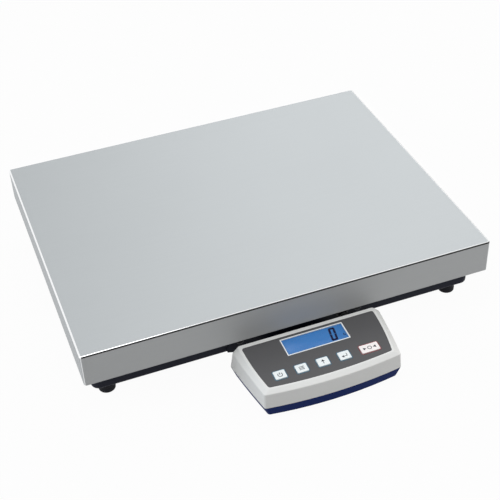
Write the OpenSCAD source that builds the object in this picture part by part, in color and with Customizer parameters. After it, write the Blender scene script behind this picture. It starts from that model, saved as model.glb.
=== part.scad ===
// Bench platform scale with a clip-on display, all sizes in mm, +Z up, floor at z = 0.
// The front of the scale, where the display is, faces -Y.

/* [Weighing plate] */
// Width of the plate over its skirt
plate_w = 522; // [480:1:600]
// Depth of the plate over its skirt
plate_d = 403; // [380:1:480]
// Height of the weighing surface above the floor
total_h = 98; // [96:1:112]
// Sheet thickness of the plate
plate_t = 1.5; // [1:0.1:2]
// Height of the folded skirt
plate_skirt = 45; // [34:0.5:46]
// Outer bend radius along the top edges
plate_bend_r = 2.2; // [2.2:0.1:4]
// Outer radius of the upright corners
plate_corner_r = 4; // [4:0.1:8]
// Width of the fold turned in at the lower edge
plate_hem = 6; // [3:0.5:7]

/* [Base frame] */
// Distance from the plate's side to the base's side
base_inset_x = 11.5; // [10:0.5:20]
// Distance from the plate's front to the base's front
base_inset_y = 21.5; // [18:0.5:28]
// Height of the base's underside above the floor
base_z = 19.2; // [19:0.1:21]
// Height of the base frame's walls
base_h = 39; // [36:1:42]
// Sheet thickness of the base
base_t = 3; // [2.5:0.1:3.2]
// Plan radius of the base's corners
base_corner_r = 10; // [8:0.5:16]
// Bend radius along the base's lower edges
base_bend_r = 4; // [3.6:0.1:6]
// Width of the stiffening ribs on the base's floor
base_rib_w = 20; // [12:1:28]
// Height of the stiffening ribs
base_rib_h = 6; // [4:0.5:7]
// Distance of the ribs from the middle
base_rib_y = 60; // [50:1:80]

/* [Levelling feet] */
// Distance of each foot's axis from the base's sides
foot_inset = 20; // [18:0.5:28]
// Radius of a foot's pad
foot_pad_r = 10.5; // [9:0.5:14]
// Height of a foot's pad
foot_pad_h = 12; // [10:0.5:12.5]
// Nominal radius of the threaded stud
foot_stud_r = 4; // [3:0.5:5]
// Height of the stud's top above the floor
foot_stud_top = 44; // [40:1:48]
// Thickness of the pad below the stud's end
foot_sole = 4; // [3:0.5:5]
// Height of the nut welded inside the base
weld_nut_h = 8; // [6:0.5:9]
// Height of the thin nut below the base
lock_nut_h = 4.5; // [3.5:0.1:5]
// Width across corners of those nuts, as a share of the stud's radius
nut_share = 1.88; // [1.8:0.01:2]

/* [Load cell] */
// Length of the cell
cell_l = 150; // [140:1:160]
// Width of the cell
cell_w = 28; // [26:1:40]
// Radius of the two bores that form the bending beams
cell_bore_r = 13; // [10:0.5:14]
// Distance of each bore from the cell's middle
cell_bore_x = 15; // [12:0.5:16]
// Height of the slot between the bores
cell_slot_h = 8; // [6:0.5:10]
// Length of the spacer blocks under and over the cell's ends
spacer_l = 48; // [44:1:50]
// Height of each spacer
spacer_h = 8; // [6:0.5:9]
// Radius of the cell's bolts
cell_bolt_r = 4; // [3:0.5:5]
// Distance between the two bolts at each end
cell_bolt_pitch = 25; // [22:0.5:26]
// Depth of each bolt in the cell
cell_bolt_depth = 16; // [12:0.5:18]
// Head height of the cell's bolts
cell_bolt_head = 5.3; // [4:0.1:6]
// Thickness of the covers over the gauges
cell_cover_t = 1; // [0.5:0.1:2]

/* [Load carrier] */
// Height of the carrier's rails
rail_h = 12; // [10:0.5:13]
// Width of the carrier's rails
rail_w = 24; // [22:0.5:30]
// Wall of the rails
rail_t = 2; // [1.5:0.1:2.5]
// Distance of the side rails from the plate's sides
rail_inset_x = 56; // [50:1:70]
// Distance of the side rails' ends from the plate's front and rear
rail_inset_y = 40; // [36:1:52]
// Distance of the long rails from the middle
long_rail_y = 70; // [60:1:85]
// Thickness of the plate over the live end
bridge_t = 6; // [5:0.5:7]
// Width of the plate over the live end
bridge_w = 64; // [58:1:72]
// Radius of the rubber buffers
buffer_r = 9; // [7:0.5:10.5]
// Radius of a buffer's stem
buffer_stem_r = 4; // [3:0.5:5]
// Height of the buffers above the rails
buffer_h = 4.2; // [3.8:0.1:5]
// Distance of a buffer from the rail's end
buffer_inset = 18; // [14:0.5:22]
// Distance of an overload stop from the rail's end
stop_inset = 46; // [40:0.5:55]
// Radius of the overload stop screws
stop_r = 3; // [2.5:0.5:4]
// Air below the rail at each stop
stop_gap = 0.8; // [0.5:0.1:1.5]
// Height of the stops' nuts
stop_nut_h = 5; // [4:0.5:6]

/* [Spirit level] */
// Radius of the level's housing
level_r = 12; // [10:0.5:15]
// Height of the level's housing
level_h = 10; // [8:0.5:12]
// Wall of the level's housing
level_wall = 2.5; // [1.5:0.1:3]
// Distance of the level from the base's left side
level_side = 79.5; // [70:0.5:95]
// Distance of the level from the base's front
level_front = 55; // [45:0.5:75]

/* [Display bracket] */
// Sheet thickness of the bracket
bracket_t = 2; // [1.5:0.1:2.2]
// Width of the bracket's upright web
web_w = 188; // [176:1:192]
// Height of the web's top above the floor
web_top = 48; // [46:1:54]
// Height where the web's sides begin to slant in
web_slant_z = 21; // [18:1:24]
// Width of the tongue below the display
tongue_w = 80; // [70:1:82]
// Distance from the display's front to the tongue's end
tongue_front = 16; // [12:1:24]
// Distance of the bracket's screws from its middle
bracket_screw_x = 78; // [72:1:84]
// Height of the bracket's screws
bracket_screw_z = 36; // [32:1:40]
// Radius of the bracket's screws
bracket_screw_r = 2.5; // [2:0.1:3]
// Radius of the screws' heads
bracket_head_r = 4.75; // [4:0.05:6]
// Height of the screws' heads
bracket_head_h = 3; // [2:0.1:4]

/* [Cable gland] */
// Position of the gland from the display's middle
gland_x = 56; // [50:1:60]
// Height of the gland
gland_z = 36; // [33:1:39]
// Radius of the gland's thread
gland_r = 6; // [5:0.25:7]
// Radius of the lead's way through the gland
gland_bore_r = 2.6; // [2:0.1:3]
// Height of the gland's nut and collar
gland_nut_h = 4; // [3:0.5:5]
// Length of the gland in front of its collar
gland_nose = 6; // [4:0.5:8]

/* [Display shells] */
// Sideways position of the display's middle
disp_x = 12; // [-40:1:40]
// Air between the plate's skirt and the display
disp_gap = 2.5; // [2.2:0.1:8]
// Height of the display's underside above the floor
disp_z = 8; // [7.5:0.1:9]
// Width at the rear of the parting line
disp_rear_w = 199; // [192:1:206]
// Width at the front of the parting line
disp_front_w = 173.4; // [168:0.2:178]
// Depth to the front corners
disp_d = 82.5; // [80:0.5:88]
// Bow of the front edge
disp_bow_f = 6.5; // [5:0.1:8]
// Bow of the side edges
disp_bow_s = 0.8; // [0.4:0.1:2]
// Radius of the shell's upright corners
disp_corner_r = 3.5; // [3:0.1:6]
// Height of the lower shell
lower_h = 14; // [13:0.5:15]
// How far the lower shell's sides draw in
lower_in_s = 5; // [4:0.5:9]
// How far the lower shell's front draws in
lower_in_f = 2; // [1:0.1:3]
// How far the lower shell's rear draws in
lower_in_r = 3; // [1:0.1:4]
// Height of the foil's rear edge line above the lower shell
upper_h = 26.9; // [26:0.1:29]
// Slope of the display's face
face_tilt = 3; // [2:0.5:5]
// Height of the crease between the walls and the bevel, above the lower shell
crease_h = 20; // [18:0.1:20.6]
// How far the rear corners draw in up to the crease
crease_in_r = 3.3; // [1:0.1:4]
// How far the front corners draw in up to the crease
crease_in_f = 0.5; // [0.2:0.1:1.5]
// How far the front draws in up to the crease
crease_front = 1.7; // [1:0.1:2.5]
// Width of the flat rim round the foil's sides
rim_side = 3.6; // [1.5:0.1:4.5]
// Width of the flat rim round the foil's front
rim_front = 2; // [1:0.1:3]
// Distance of the rim's rear edge from the shell's rear
rim_rear = 0.3; // [0.2:0.1:1]
// Wall of both shells
shell_t = 2.5; // [2.2:0.1:2.8]
// Radius of the bosses for the shell's screws
boss_r = 4; // [3.6:0.1:4.2]
// Radius of the shell's screws
shell_screw_r = 1.5; // [1.2:0.1:1.8]
// Head radius of the shell's screws
shell_head_r = 2.8; // [2.5:0.1:3]
// Head height of the shell's screws
shell_head_h = 2; // [1.6:0.1:2.4]
// Distance of the rear shell screws from the rear corners
screw_rear_side = 23.5; // [23:0.1:25]
// Distance of the rear shell screws from the rear wall
screw_rear = 9; // [8.5:0.1:9.5]
// Distance of the front shell screws from the front corners
screw_front_side = 16.7; // [16:0.1:18]
// Distance of the front shell screws from the front corners' line
screw_front = 6.5; // [6:0.1:8]
// Radius of the display's rubber feet
disp_foot_r = 3.8; // [3.4:0.1:4]
// Height of the display's rubber feet
disp_foot_h = 5.2; // [5:0.1:5.6]
// Distance of the rear rubber feet from the rear corners
foot_rear_side = 41.5; // [41:0.1:43]
// Distance of the rear rubber feet from the rear wall
foot_rear = 8.5; // [8:0.1:9]
// Distance of the front rubber feet from the front corners
foot_front_side = 30.7; // [30:0.1:32]
// Distance of the front rubber feet from the front corners' line
foot_front = 9.7; // [9.4:0.1:10]

/* [Display face] */
// Foil width along its rear edge
foil_rear_w = 170.8; // [164:0.2:174]
// Foil width along its front edge
foil_front_w = 155.6; // [152:0.2:160]
// Foil depth to its front corners
foil_d = 68.2; // [66:0.2:70]
// Bow of the foil's front edge
foil_bow_f = 4.9; // [3:0.1:5.5]
// Bow of the foil's sides
foil_bow_s = 1.8; // [0.5:0.1:3]
// Distance of the foil's rear edge from the shell's rear
foil_rear = 5.6; // [4.8:0.1:6]
// Radius of the foil's corners
foil_corner_r = 3; // [2:0.1:5]
// Thickness of the foil
foil_t = 0.8; // [0.5:0.1:1]
// Width of the window
window_w = 80.3; // [76:0.1:82]
// Depth of the window
window_d = 27.3; // [25:0.1:28]
// Ledge that carries the window
window_ledge = 1.1; // [0.8:0.1:1.5]
// Sideways position of the window
window_x = 1.6; // [-3:0.1:3]
// Distance of the window's middle from the shell's rear
window_y = 23; // [22:0.1:24]
// Thickness of the liquid-crystal panel
panel_t = 2.8; // [2:0.1:3]
// Thickness of the backlight
backlight_t = 3.7; // [3.5:0.1:4]
// Overhang of the panel past the window
panel_over = 3.2; // [2:0.1:4]

/* [Keys] */
// Width of a small key
key_w = 14.3; // [12:0.1:15]
// Depth of a small key
key_d = 12.5; // [11:0.1:13.5]
// Width of the wide key
wide_w = 23.4; // [20:0.1:24]
// Sideways position of the first small key
key_x0 = -58.8; // [-60:0.1:-57]
// Distance from one small key to the next
key_pitch = 27.1; // [26.5:0.1:27.5]
// Sideways position of the wide key
wide_x = 55; // [54:0.1:56]
// Distance of the key row from the shell's rear
key_y = 60.5; // [59:0.1:61]
// Corner radius of the keys
key_r = 1.2; // [0.8:0.1:2]
// Height of the keys above the foil
key_rise = 0.8; // [0.5:0.1:1.2]
// Flange that holds a key below the shell
key_flange = 1; // [0.6:0.1:1.4]
// Travel of a key
key_travel = 0.5; // [0.3:0.05:0.6]
// Side of a key switch
switch_w = 6; // [5:0.5:7]

/* [Circuit board] */
// Width of the board
board_w = 132; // [130:1:136]
// Depth of the board
board_d = 62; // [60:0.5:63]
// Thickness of the board
board_t = 1.6; // [1:0.1:2]
// Distance of the board's rear edge from the shell's rear
board_rear = 7; // [6:0.5:8]
// Radius of the board's bosses
board_boss_r = 3; // [2.5:0.1:3.2]
// Radius of the board's screws
board_screw_r = 1.2; // [1:0.1:1.4]
// Distance of the board's rear screws from the middle
board_screw_x = 54; // [50:0.5:56]
// Distance of the board's rear screws from the shell's rear
board_screw_y = 14; // [13:0.5:15]
// How far the board's front screws stand behind the row of keys
board_screw_up = 2; // [1:0.1:3]
// Distance of the second front screw from the fourth key
board_screw_side = 14; // [13.5:0.1:14.5]

/* [Battery] */
// Width of the battery block
battery_w = 26.5; // [24:0.1:27]
// Length of the battery block
battery_l = 48.5; // [46:0.1:49]
// Height of the battery block
battery_h = 17.5; // [15:0.1:18]
// Sideways position of the battery's middle
battery_x = 63.25; // [62:0.25:64]
// Distance of the battery's middle from the shell's rear
battery_y = 41; // [40:0.1:41.5]
// Width of the battery cover
cover_w = 51.4; // [50:0.1:52]
// Width of the cover's flange on each side
cover_flange = 1.4; // [1:0.1:1.5]
// Length of the battery cover
cover_l = 34; // [32:0.1:34.5]
// Thickness of the lip that holds the cover
cover_lip = 1; // [0.8:0.1:1.2]
// Thickness of the cover's flange
cover_flange_t = 1; // [0.8:0.1:1.2]
// Thickness of the battery's clip
clip_t = 3; // [2:0.1:3.2]

/* [Display inlets] */
// Sideways position of the power socket
socket_x = -56; // [-60:1:-52]
// Radius of the power socket's opening
socket_bore_r = 3.2; // [2.8:0.1:3.4]
// Radius of the power socket's collar
socket_collar_r = 4.6; // [4.2:0.1:5]
// Sideways position of the lead's grommet
grommet_x = 20; // [10:1:30]
// Radius of the grommet in the wall
grommet_r = 4.4; // [4:0.1:4.8]
// Radius of the grommet's flanges
grommet_flange_r = 5.6; // [5.2:0.1:5.8]

/* [Fits] */
// Air between pieces that move past each other
run_gap = 0.35; // [0.3:0.05:0.45]
// Air at the bottom of the keys and below the weighing plate
rest_gap = 0.3; // [0.25:0.05:0.4]
// Radial fit of a stud in its nut or pad, and of the inlets in their wall
stud_fit = 0.05; // [0.02:0.01:0.08]
// Radial room round a screw's shank
screw_room = 0.2; // [0.1:0.05:0.4]
// Air round the foil and the window
foil_room = 0.15; // [0.1:0.05:0.3]

/* [Hidden] */
$fn = 64;
eps = 0.02;
// Lines of the platform
plate_under = total_h - plate_t;
base_w = plate_w - 2 * base_inset_x;
base_d = plate_d - 2 * base_inset_y;
base_floor = base_z + base_t;
foot_x = base_w / 2 - foot_inset;
foot_y = base_d / 2 - foot_inset;
nut_r = foot_stud_r * nut_share;
level_x = -base_w / 2 + level_side;
level_y = -base_d / 2 + level_front;
// Stack from the plate down to the base
rail_top = plate_under - rest_gap - buffer_h;
rail_z = rail_top - rail_h;
cell_top = rail_z - spacer_h;
cell_z = base_floor + spacer_h;
cell_h = cell_top - cell_z;
bolt_x = cell_l / 2 - spacer_l / 2 - 1;
side_rail_x = plate_w / 2 - rail_inset_x;
side_rail_l = plate_d - 2 * rail_inset_y;
buffer_y = side_rail_l / 2 - buffer_inset;
stop_y = side_rail_l / 2 - stop_inset;
// Lines of the display
disp_rear_y = -(plate_d / 2 + disp_gap);
part_z = disp_z + lower_h;
crease_z = part_z + crease_h;
screw_places = [[disp_rear_w / 2 - screw_rear_side, -screw_rear],
  [disp_front_w / 2 - screw_front_side, screw_front - disp_d]];
disp_foot_places = [[disp_rear_w / 2 - foot_rear_side, -foot_rear],
  [disp_front_w / 2 - foot_front_side, foot_front - disp_d]];
face_rear_z = part_z + upper_h;
face_t = shell_t + foil_t;
tongue_z = disp_z - run_gap - bracket_t;
web_y = -base_d / 2;
board_top = -face_t - panel_t - backlight_t;
board_front = board_rear + board_d;
cover_z = disp_z;
cover_flange_z = disp_z + cover_lip + rest_gap;
cover_top = cover_flange_z + cover_flange_t;
strip_z = cover_top + rest_gap;
strip_t = 2;
battery_z = strip_z + strip_t;
inlet_z = disp_z + lower_h / 2;
inlet_boss_t = 5;
inlet_boss_w = 16;
inlet_pocket = 3;
socket_h = lower_h - 2 * shell_t - 0.6;
overall_d = plate_d + disp_gap + disp_d + disp_bow_f;
plate_cy = overall_d / 2 - plate_d / 2;

// Places

module placed() {
  translate([0, plate_cy, 0]) children();
}

// x from the display's middle, y from its rear edge, z from the floor
module at_display() {
  translate([disp_x, disp_rear_y, 0]) children();
}

// the same x and y on the sloping face, z up from the foil
module at_face() {
  translate([disp_x, disp_rear_y, face_rear_z]) rotate([face_tilt, 0, 0]) children();
}

module at_corners(x, y) {
  for (sx = [-1, 1])
    for (sy = [-1, 1])
      translate([sx * x, sy * y, 0]) children();
}

// Shapes

module rounded_rect(w, d, r) {
  square([w - 2 * r, d], center = true);
  square([w, d - 2 * r], center = true);
  for (sx = [-1, 1])
    for (sy = [-1, 1])
      translate([sx * (w / 2 - r), sy * (d / 2 - r)]) circle(r = r);
}

// upright section of a folded pan, rounded along its lower edges
module pan_section(w, h, br) {
  translate([-w / 2, br]) square([w, h - br]);
  translate([-w / 2 + br, 0]) square([w - 2 * br, h]);
  for (s = [-1, 1])
    translate([s * (w / 2 - br), br]) circle(r = br);
}

// solid pan: upright corners of radius cr, lower edges of radius br
module pan(w, d, h, cr, br) {
  rotate([90, 0, 90])
    linear_extrude(height = w - 2 * cr, center = true) pan_section(d, h, br);
  rotate([90, 0, 0])
    linear_extrude(height = d - 2 * cr, center = true) pan_section(w, h, br);
  at_corners(w / 2 - cr, d / 2 - cr)
    rotate_extrude() intersection() {
      pan_section(2 * cr, h, br);
      square([cr, h]);
    }
}

module hex(r, h) {
  cylinder(r = r, h = h, $fn = 6);
}

function blend(a, b, t) = a + (b - a) * t;

// plan outline that narrows to the front, y = 0 at its rear edge
module barrel(hr, hf, d, bow_s, bow_f, r, n = 8) {
  left = [for (i = [0:n])
    [-blend(hr, hf, i / n) - 4 * bow_s * (i / n) * (1 - i / n), -d * i / n]];
  front = [for (i = [1:2 * n - 1])
    [hf * (i / n - 1), -d - bow_f * (1 - pow(i / n - 1, 2))]];
  right = [for (i = [0:n]) [-left[n - i][0], left[n - i][1]]];
  offset(r = r, $fn = 32) offset(delta = -r) polygon(concat(left, front, right));
}

// the shell's plan, drawn in at its sides, front and rear
module shell_plan(in_s, in_f, in_r) {
  translate([0, -in_r])
    barrel(disp_rear_w / 2 - in_s, disp_front_w / 2 - in_s, disp_d - in_f - in_r,
      disp_bow_s, disp_bow_f, disp_corner_r);
}

// the foil's plan, grown by g
module foil_plan(g) {
  translate([0, -foil_rear + g])
    barrel(foil_rear_w / 2 + g, foil_front_w / 2 + g, foil_d + 2 * g,
      foil_bow_s, foil_bow_f, foil_corner_r);
}

// outline of the crease below the bevel, drawn in by g
module crease_plan(g) {
  translate([0, -g])
    barrel(disp_rear_w / 2 - crease_in_r - g, disp_front_w / 2 - crease_in_f - g,
      disp_d - crease_front - 2 * g, disp_bow_s, disp_bow_f, disp_corner_r);
}

// outline of the flat rim round the foil
module rim_plan(g) {
  translate([0, -rim_rear - g])
    barrel(foil_rear_w / 2 + rim_side - g, foil_front_w / 2 + rim_front - g,
      foil_rear - rim_rear + foil_d + rim_front - 2 * g, foil_bow_s, foil_bow_f, foil_corner_r);
}

module key_plan(w, grow) {
  rounded_rect(w + 2 * grow, key_d + 2 * grow, key_r);
}

// every key's place on the face
module at_keys() {
  for (i = [0:3])
    translate([key_x0 + i * key_pitch, -key_y, 0]) children();
  translate([wide_x, -key_y, 0]) children();
}

module key_openings(grow) {
  for (i = [0:3])
    translate([key_x0 + i * key_pitch, -key_y]) key_plan(key_w, grow);
  translate([wide_x, -key_y]) key_plan(wide_w, grow);
}

module at_shell_screws() {
  for (s = [-1, 1])
    for (p = screw_places)
      translate([s * p[0], p[1], 0]) children();
}

module at_board_screws() {
  for (s = [-1, 1])
    translate([s * board_screw_x, -board_screw_y, 0]) children();
  translate([key_x0 + key_pitch / 2, -key_y + board_screw_up, 0]) children();
  translate([key_x0 + 3 * key_pitch + board_screw_side, -key_y + board_screw_up, 0]) children();
}

// Platform

module weighing_plate() {
  color([0.78, 0.79, 0.8]) placed()
    difference() {
      union() {
        difference() {
          translate([0, 0, total_h]) rotate([180, 0, 0])
            pan(plate_w, plate_d, plate_skirt, plate_corner_r, plate_bend_r);
          translate([0, 0, plate_under]) rotate([180, 0, 0])
            pan(plate_w - 2 * plate_t, plate_d - 2 * plate_t, plate_skirt,
              plate_corner_r - plate_t, plate_bend_r - plate_t);
        }
        translate([0, 0, total_h - plate_skirt])
          linear_extrude(height = plate_t) difference() {
            rounded_rect(plate_w - plate_t, plate_d - plate_t, plate_corner_r - plate_t / 2);
            square([plate_w - 2 * plate_hem, plate_d - 2 * plate_hem], center = true);
          }
      }
    }
}

module plate_buffers() {
  color([0.08, 0.08, 0.09]) placed()
    at_corners(side_rail_x, buffer_y) {
      translate([0, 0, rail_top]) cylinder(r = buffer_r, h = buffer_h);
      translate([0, 0, rail_top - rail_t]) cylinder(r = buffer_stem_r, h = rail_t + eps);
    }
}

module rail(l) {
  difference() {
    cube([l, rail_w, rail_h], center = true);
    cube([l + 1, rail_w - 2 * rail_t, rail_h - 2 * rail_t], center = true);
  }
}

module load_carrier() {
  color([0.15, 0.16, 0.18]) placed()
    difference() {
      union() {
        for (s = [-1, 1]) {
          translate([s * side_rail_x, 0, rail_z + rail_h / 2]) rotate([0, 0, 90])
            rail(side_rail_l);
          translate([0, s * long_rail_y, rail_z + rail_h / 2])
            rail(2 * side_rail_x - rail_w);
        }
        translate([bolt_x - bridge_w / 2, -long_rail_y + rail_w / 2 - eps, rail_z])
          cube([bridge_w, 2 * long_rail_y - rail_w + 2 * eps, bridge_t]);
      }
      at_corners(side_rail_x, buffer_y)
        translate([0, 0, rail_top - rail_t - eps]) cylinder(r = buffer_stem_r, h = rail_h);
      for (s = [-1, 1])
        translate([bolt_x + s * cell_bolt_pitch / 2, 0, rail_z - 1])
          cylinder(r = cell_bolt_r + screw_room, h = bridge_t + 2);
    }
}

module spacer(h) {
  difference() {
    translate([-spacer_l / 2, -cell_w / 2, 0]) cube([spacer_l, cell_w, h]);
    for (s = [-1, 1])
      translate([s * cell_bolt_pitch / 2, 0, -1])
        cylinder(r = cell_bolt_r + screw_room, h = h + 2);
  }
}

module upper_spacer() {
  color([0.7, 0.71, 0.72]) placed()
    translate([bolt_x, 0, cell_top]) spacer(spacer_h);
}

module lower_spacer() {
  color([0.7, 0.71, 0.72]) placed()
    translate([-bolt_x, 0, base_floor]) spacer(spacer_h);
}

module load_cell() {
  color([0.74, 0.75, 0.77]) placed()
    difference() {
      translate([-cell_l / 2, -cell_w / 2, cell_z]) cube([cell_l, cell_w, cell_h]);
      for (s = [-1, 1])
        translate([s * cell_bore_x, 0, cell_z + cell_h / 2]) rotate([90, 0, 0])
          cylinder(r = cell_bore_r, h = cell_w + 2, center = true);
      translate([-cell_bore_x, -cell_w / 2 - 1, cell_z + cell_h / 2 - cell_slot_h / 2])
        cube([2 * cell_bore_x, cell_w + 2, cell_slot_h]);
      for (s = [-1, 1]) {
        translate([bolt_x + s * cell_bolt_pitch / 2, 0, cell_top - cell_bolt_depth - 1])
          cylinder(r = cell_bolt_r + screw_room, h = cell_bolt_depth + 2);
        translate([-bolt_x + s * cell_bolt_pitch / 2, 0, cell_z - 1])
          cylinder(r = cell_bolt_r + screw_room, h = cell_bolt_depth + 2);
      }
    }
}

module cell_covers() {
  cover_w0 = 2 * (cell_bore_x + cell_bore_r) + 6;
  color([0.85, 0.85, 0.83]) placed()
    for (s = [-1, 1])
      translate([-cover_w0 / 2, s * (cell_w + cell_cover_t) / 2 - cell_cover_t / 2, cell_z + 3])
        cube([cover_w0, cell_cover_t, cell_h - 6]);
}

module bolt(head_r, head_h, r, l) {
  hex(head_r, head_h);
  translate([0, 0, head_h - eps]) cylinder(r = r, h = l + eps);
}

module live_end_bolts() {
  shank = bridge_t + spacer_h + cell_bolt_depth;
  color([0.72, 0.72, 0.7]) placed()
    for (s = [-1, 1])
      translate([bolt_x + s * cell_bolt_pitch / 2, 0, rail_z + bridge_t + cell_bolt_head])
        rotate([180, 0, 0]) bolt(cell_bolt_r * nut_share, cell_bolt_head, cell_bolt_r, shank);
}

module fixed_end_bolts() {
  shank = base_t + spacer_h + cell_bolt_depth;
  color([0.72, 0.72, 0.7]) placed()
    for (s = [-1, 1])
      translate([-bolt_x + s * cell_bolt_pitch / 2, 0, base_z - cell_bolt_head])
        bolt(cell_bolt_r * nut_share, cell_bolt_head, cell_bolt_r, shank);
}

module base_frame() {
  color([0.09, 0.1, 0.12]) placed()
    difference() {
      union() {
        translate([0, 0, base_z]) difference() {
          pan(base_w, base_d, base_h, base_corner_r, base_bend_r);
          translate([0, 0, base_t])
            pan(base_w - 2 * base_t, base_d - 2 * base_t, base_h,
              base_corner_r - base_t, base_bend_r - base_t);
        }
        for (s = [-1, 1])
          translate([-base_w / 2 + base_t + 3, s * base_rib_y - base_rib_w / 2, base_floor - eps])
            cube([base_w - 2 * base_t - 6, base_rib_w, base_rib_h]);
      }
      at_corners(foot_x, foot_y)
        translate([0, 0, base_z - 1]) cylinder(r = foot_stud_r + screw_room, h = base_t + 2);
      at_corners(side_rail_x, stop_y)
        translate([0, 0, base_z - 1]) cylinder(r = stop_r + screw_room, h = base_t + 2);
      for (s = [-1, 1])
        translate([-bolt_x + s * cell_bolt_pitch / 2, 0, base_z - 1])
          cylinder(r = cell_bolt_r + screw_room, h = base_t + 2);
      for (s = [-1, 1])
        translate([disp_x + s * bracket_screw_x, web_y - 1, bracket_screw_z])
          rotate([-90, 0, 0]) cylinder(r = bracket_screw_r + screw_room, h = base_t + 2);
      translate([disp_x + gland_x, web_y - 1, gland_z]) rotate([-90, 0, 0])
        cylinder(r = gland_r + screw_room, h = base_t + 2);
    }
}

module overload_stop_screws() {
  color([0.72, 0.72, 0.7]) placed()
    at_corners(side_rail_x, stop_y)
      translate([0, 0, base_z]) cylinder(r = stop_r, h = rail_z - stop_gap - base_z);
}

module ring_nut(r, bore, h) {
  difference() {
    hex(r, h);
    translate([0, 0, -1]) cylinder(r = bore, h = h + 2);
  }
}

module stop_lock_nuts() {
  color([0.66, 0.66, 0.64]) placed()
    at_corners(side_rail_x, stop_y)
      translate([0, 0, base_floor]) ring_nut(stop_r * nut_share, stop_r, stop_nut_h);
}

// Feet

module foot_pad(sx, sy) {
  r = foot_pad_r;
  color([0.07, 0.07, 0.08]) placed()
    translate([sx * foot_x, sy * foot_y, 0]) difference() {
      rotate_extrude()
        polygon([[0, 0], [r - 1, 0], [r, 1], [r, foot_pad_h - 3], [r - 2.5, foot_pad_h],
          [0, foot_pad_h]]);
      translate([0, 0, foot_sole]) cylinder(r = foot_stud_r + stud_fit, h = foot_pad_h);
    }
}

module foot_stud(sx, sy) {
  color([0.7, 0.7, 0.68]) placed()
    translate([sx * foot_x, sy * foot_y, foot_sole + rest_gap])
      cylinder(r = foot_stud_r, h = foot_stud_top - foot_sole - rest_gap);
}

module foot_pad_fl() foot_pad(-1, -1);
module foot_pad_fr() foot_pad(1, -1);
module foot_pad_rl() foot_pad(-1, 1);
module foot_pad_rr() foot_pad(1, 1);
module foot_stud_fl() foot_stud(-1, -1);
module foot_stud_fr() foot_stud(1, -1);
module foot_stud_rl() foot_stud(-1, 1);
module foot_stud_rr() foot_stud(1, 1);

module foot_weld_nuts() {
  color([0.66, 0.66, 0.64]) placed()
    at_corners(foot_x, foot_y)
      translate([0, 0, base_floor]) ring_nut(nut_r, foot_stud_r + stud_fit, weld_nut_h);
}

module foot_lock_nuts() {
  color([0.66, 0.66, 0.64]) placed()
    at_corners(foot_x, foot_y)
      translate([0, 0, base_z - lock_nut_h])
        ring_nut(nut_r, foot_stud_r + stud_fit, lock_nut_h);
}

// Spirit level

module level_housing() {
  color([0.12, 0.12, 0.13]) placed()
    translate([level_x, level_y, base_floor]) difference() {
      cylinder(r = level_r, h = level_h);
      translate([0, 0, level_wall]) cylinder(r = level_r - level_wall, h = level_h);
    }
}

module level_glass() {
  color([0.75, 0.9, 0.4]) placed()
    translate([level_x, level_y, base_floor + level_wall])
      cylinder(r = level_r - level_wall, h = level_h - level_wall - 1);
}

// Cable gland in the base's front wall

module at_gland() {
  translate([disp_x + gland_x, web_y - bracket_t, gland_z]) rotate([90, 0, 0]) children();
}

module gland_body() {
  color([0.1, 0.1, 0.11]) placed() at_gland()
    difference() {
      union() {
        hex(gland_r * 1.45, gland_nut_h);
        cylinder(r = gland_r, h = gland_nut_h + gland_nose);
        translate([0, 0, -bracket_t - base_t - gland_nut_h])
          cylinder(r = gland_r, h = bracket_t + base_t + gland_nut_h + eps);
      }
      translate([0, 0, -bracket_t - base_t - gland_nut_h - 1])
        cylinder(r = gland_bore_r, h = bracket_t + base_t + 2 * gland_nut_h + gland_nose + 2);
    }
}

module gland_nut() {
  color([0.1, 0.1, 0.11]) placed() at_gland()
    translate([0, 0, -bracket_t - base_t - gland_nut_h])
      ring_nut(gland_r * 1.45, gland_r, gland_nut_h);
}

// Display bracket

module display_bracket() {
  tongue_l = web_y - disp_rear_y + disp_d - tongue_front;
  color([0.09, 0.1, 0.12]) placed()
    difference() {
      union() {
        translate([disp_x, web_y, 0]) rotate([90, 0, 0])
          linear_extrude(height = bracket_t)
            polygon([[-web_w / 2, web_top], [-web_w / 2, web_slant_z],
              [-tongue_w / 2, tongue_z], [tongue_w / 2, tongue_z],
              [web_w / 2, web_slant_z], [web_w / 2, web_top]]);
        translate([disp_x - tongue_w / 2, web_y - tongue_l, tongue_z])
          cube([tongue_w, tongue_l, bracket_t]);
      }
      for (s = [-1, 1])
        translate([disp_x + s * bracket_screw_x, web_y + 1, bracket_screw_z])
          rotate([90, 0, 0]) cylinder(r = bracket_screw_r + screw_room, h = bracket_t + 2);
      translate([disp_x + gland_x, web_y + 1, gland_z]) rotate([90, 0, 0])
        cylinder(r = gland_r + screw_room, h = bracket_t + 2);
    }
}

module bracket_screws() {
  color([0.2, 0.2, 0.21]) placed()
    for (s = [-1, 1])
      translate([disp_x + s * bracket_screw_x, web_y - bracket_t, bracket_screw_z])
        rotate([90, 0, 0]) {
          cylinder(r = bracket_head_r, h = bracket_head_h);
          translate([0, 0, -bracket_t - base_t - 2])
            cylinder(r = bracket_screw_r, h = bracket_t + base_t + 2 + eps);
        }
}

// Display shells

module upper_outer() {
  hull() {
    at_display() translate([0, 0, part_z]) linear_extrude(height = eps) shell_plan(0, 0, 0);
    at_display() translate([0, 0, crease_z - eps]) linear_extrude(height = eps) crease_plan(0);
    at_face() translate([0, 0, -eps]) linear_extrude(height = eps) rim_plan(0);
  }
}

module upper_inner() {
  hull() {
    at_display() translate([0, 0, part_z - eps]) linear_extrude(height = eps)
      shell_plan(shell_t, shell_t, shell_t);
    at_display() translate([0, 0, crease_z - shell_t / 2]) linear_extrude(height = eps)
      crease_plan(shell_t);
    at_face() translate([0, 0, -face_t - eps]) linear_extrude(height = eps)
      rim_plan(1.2 * shell_t);
  }
}

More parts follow.
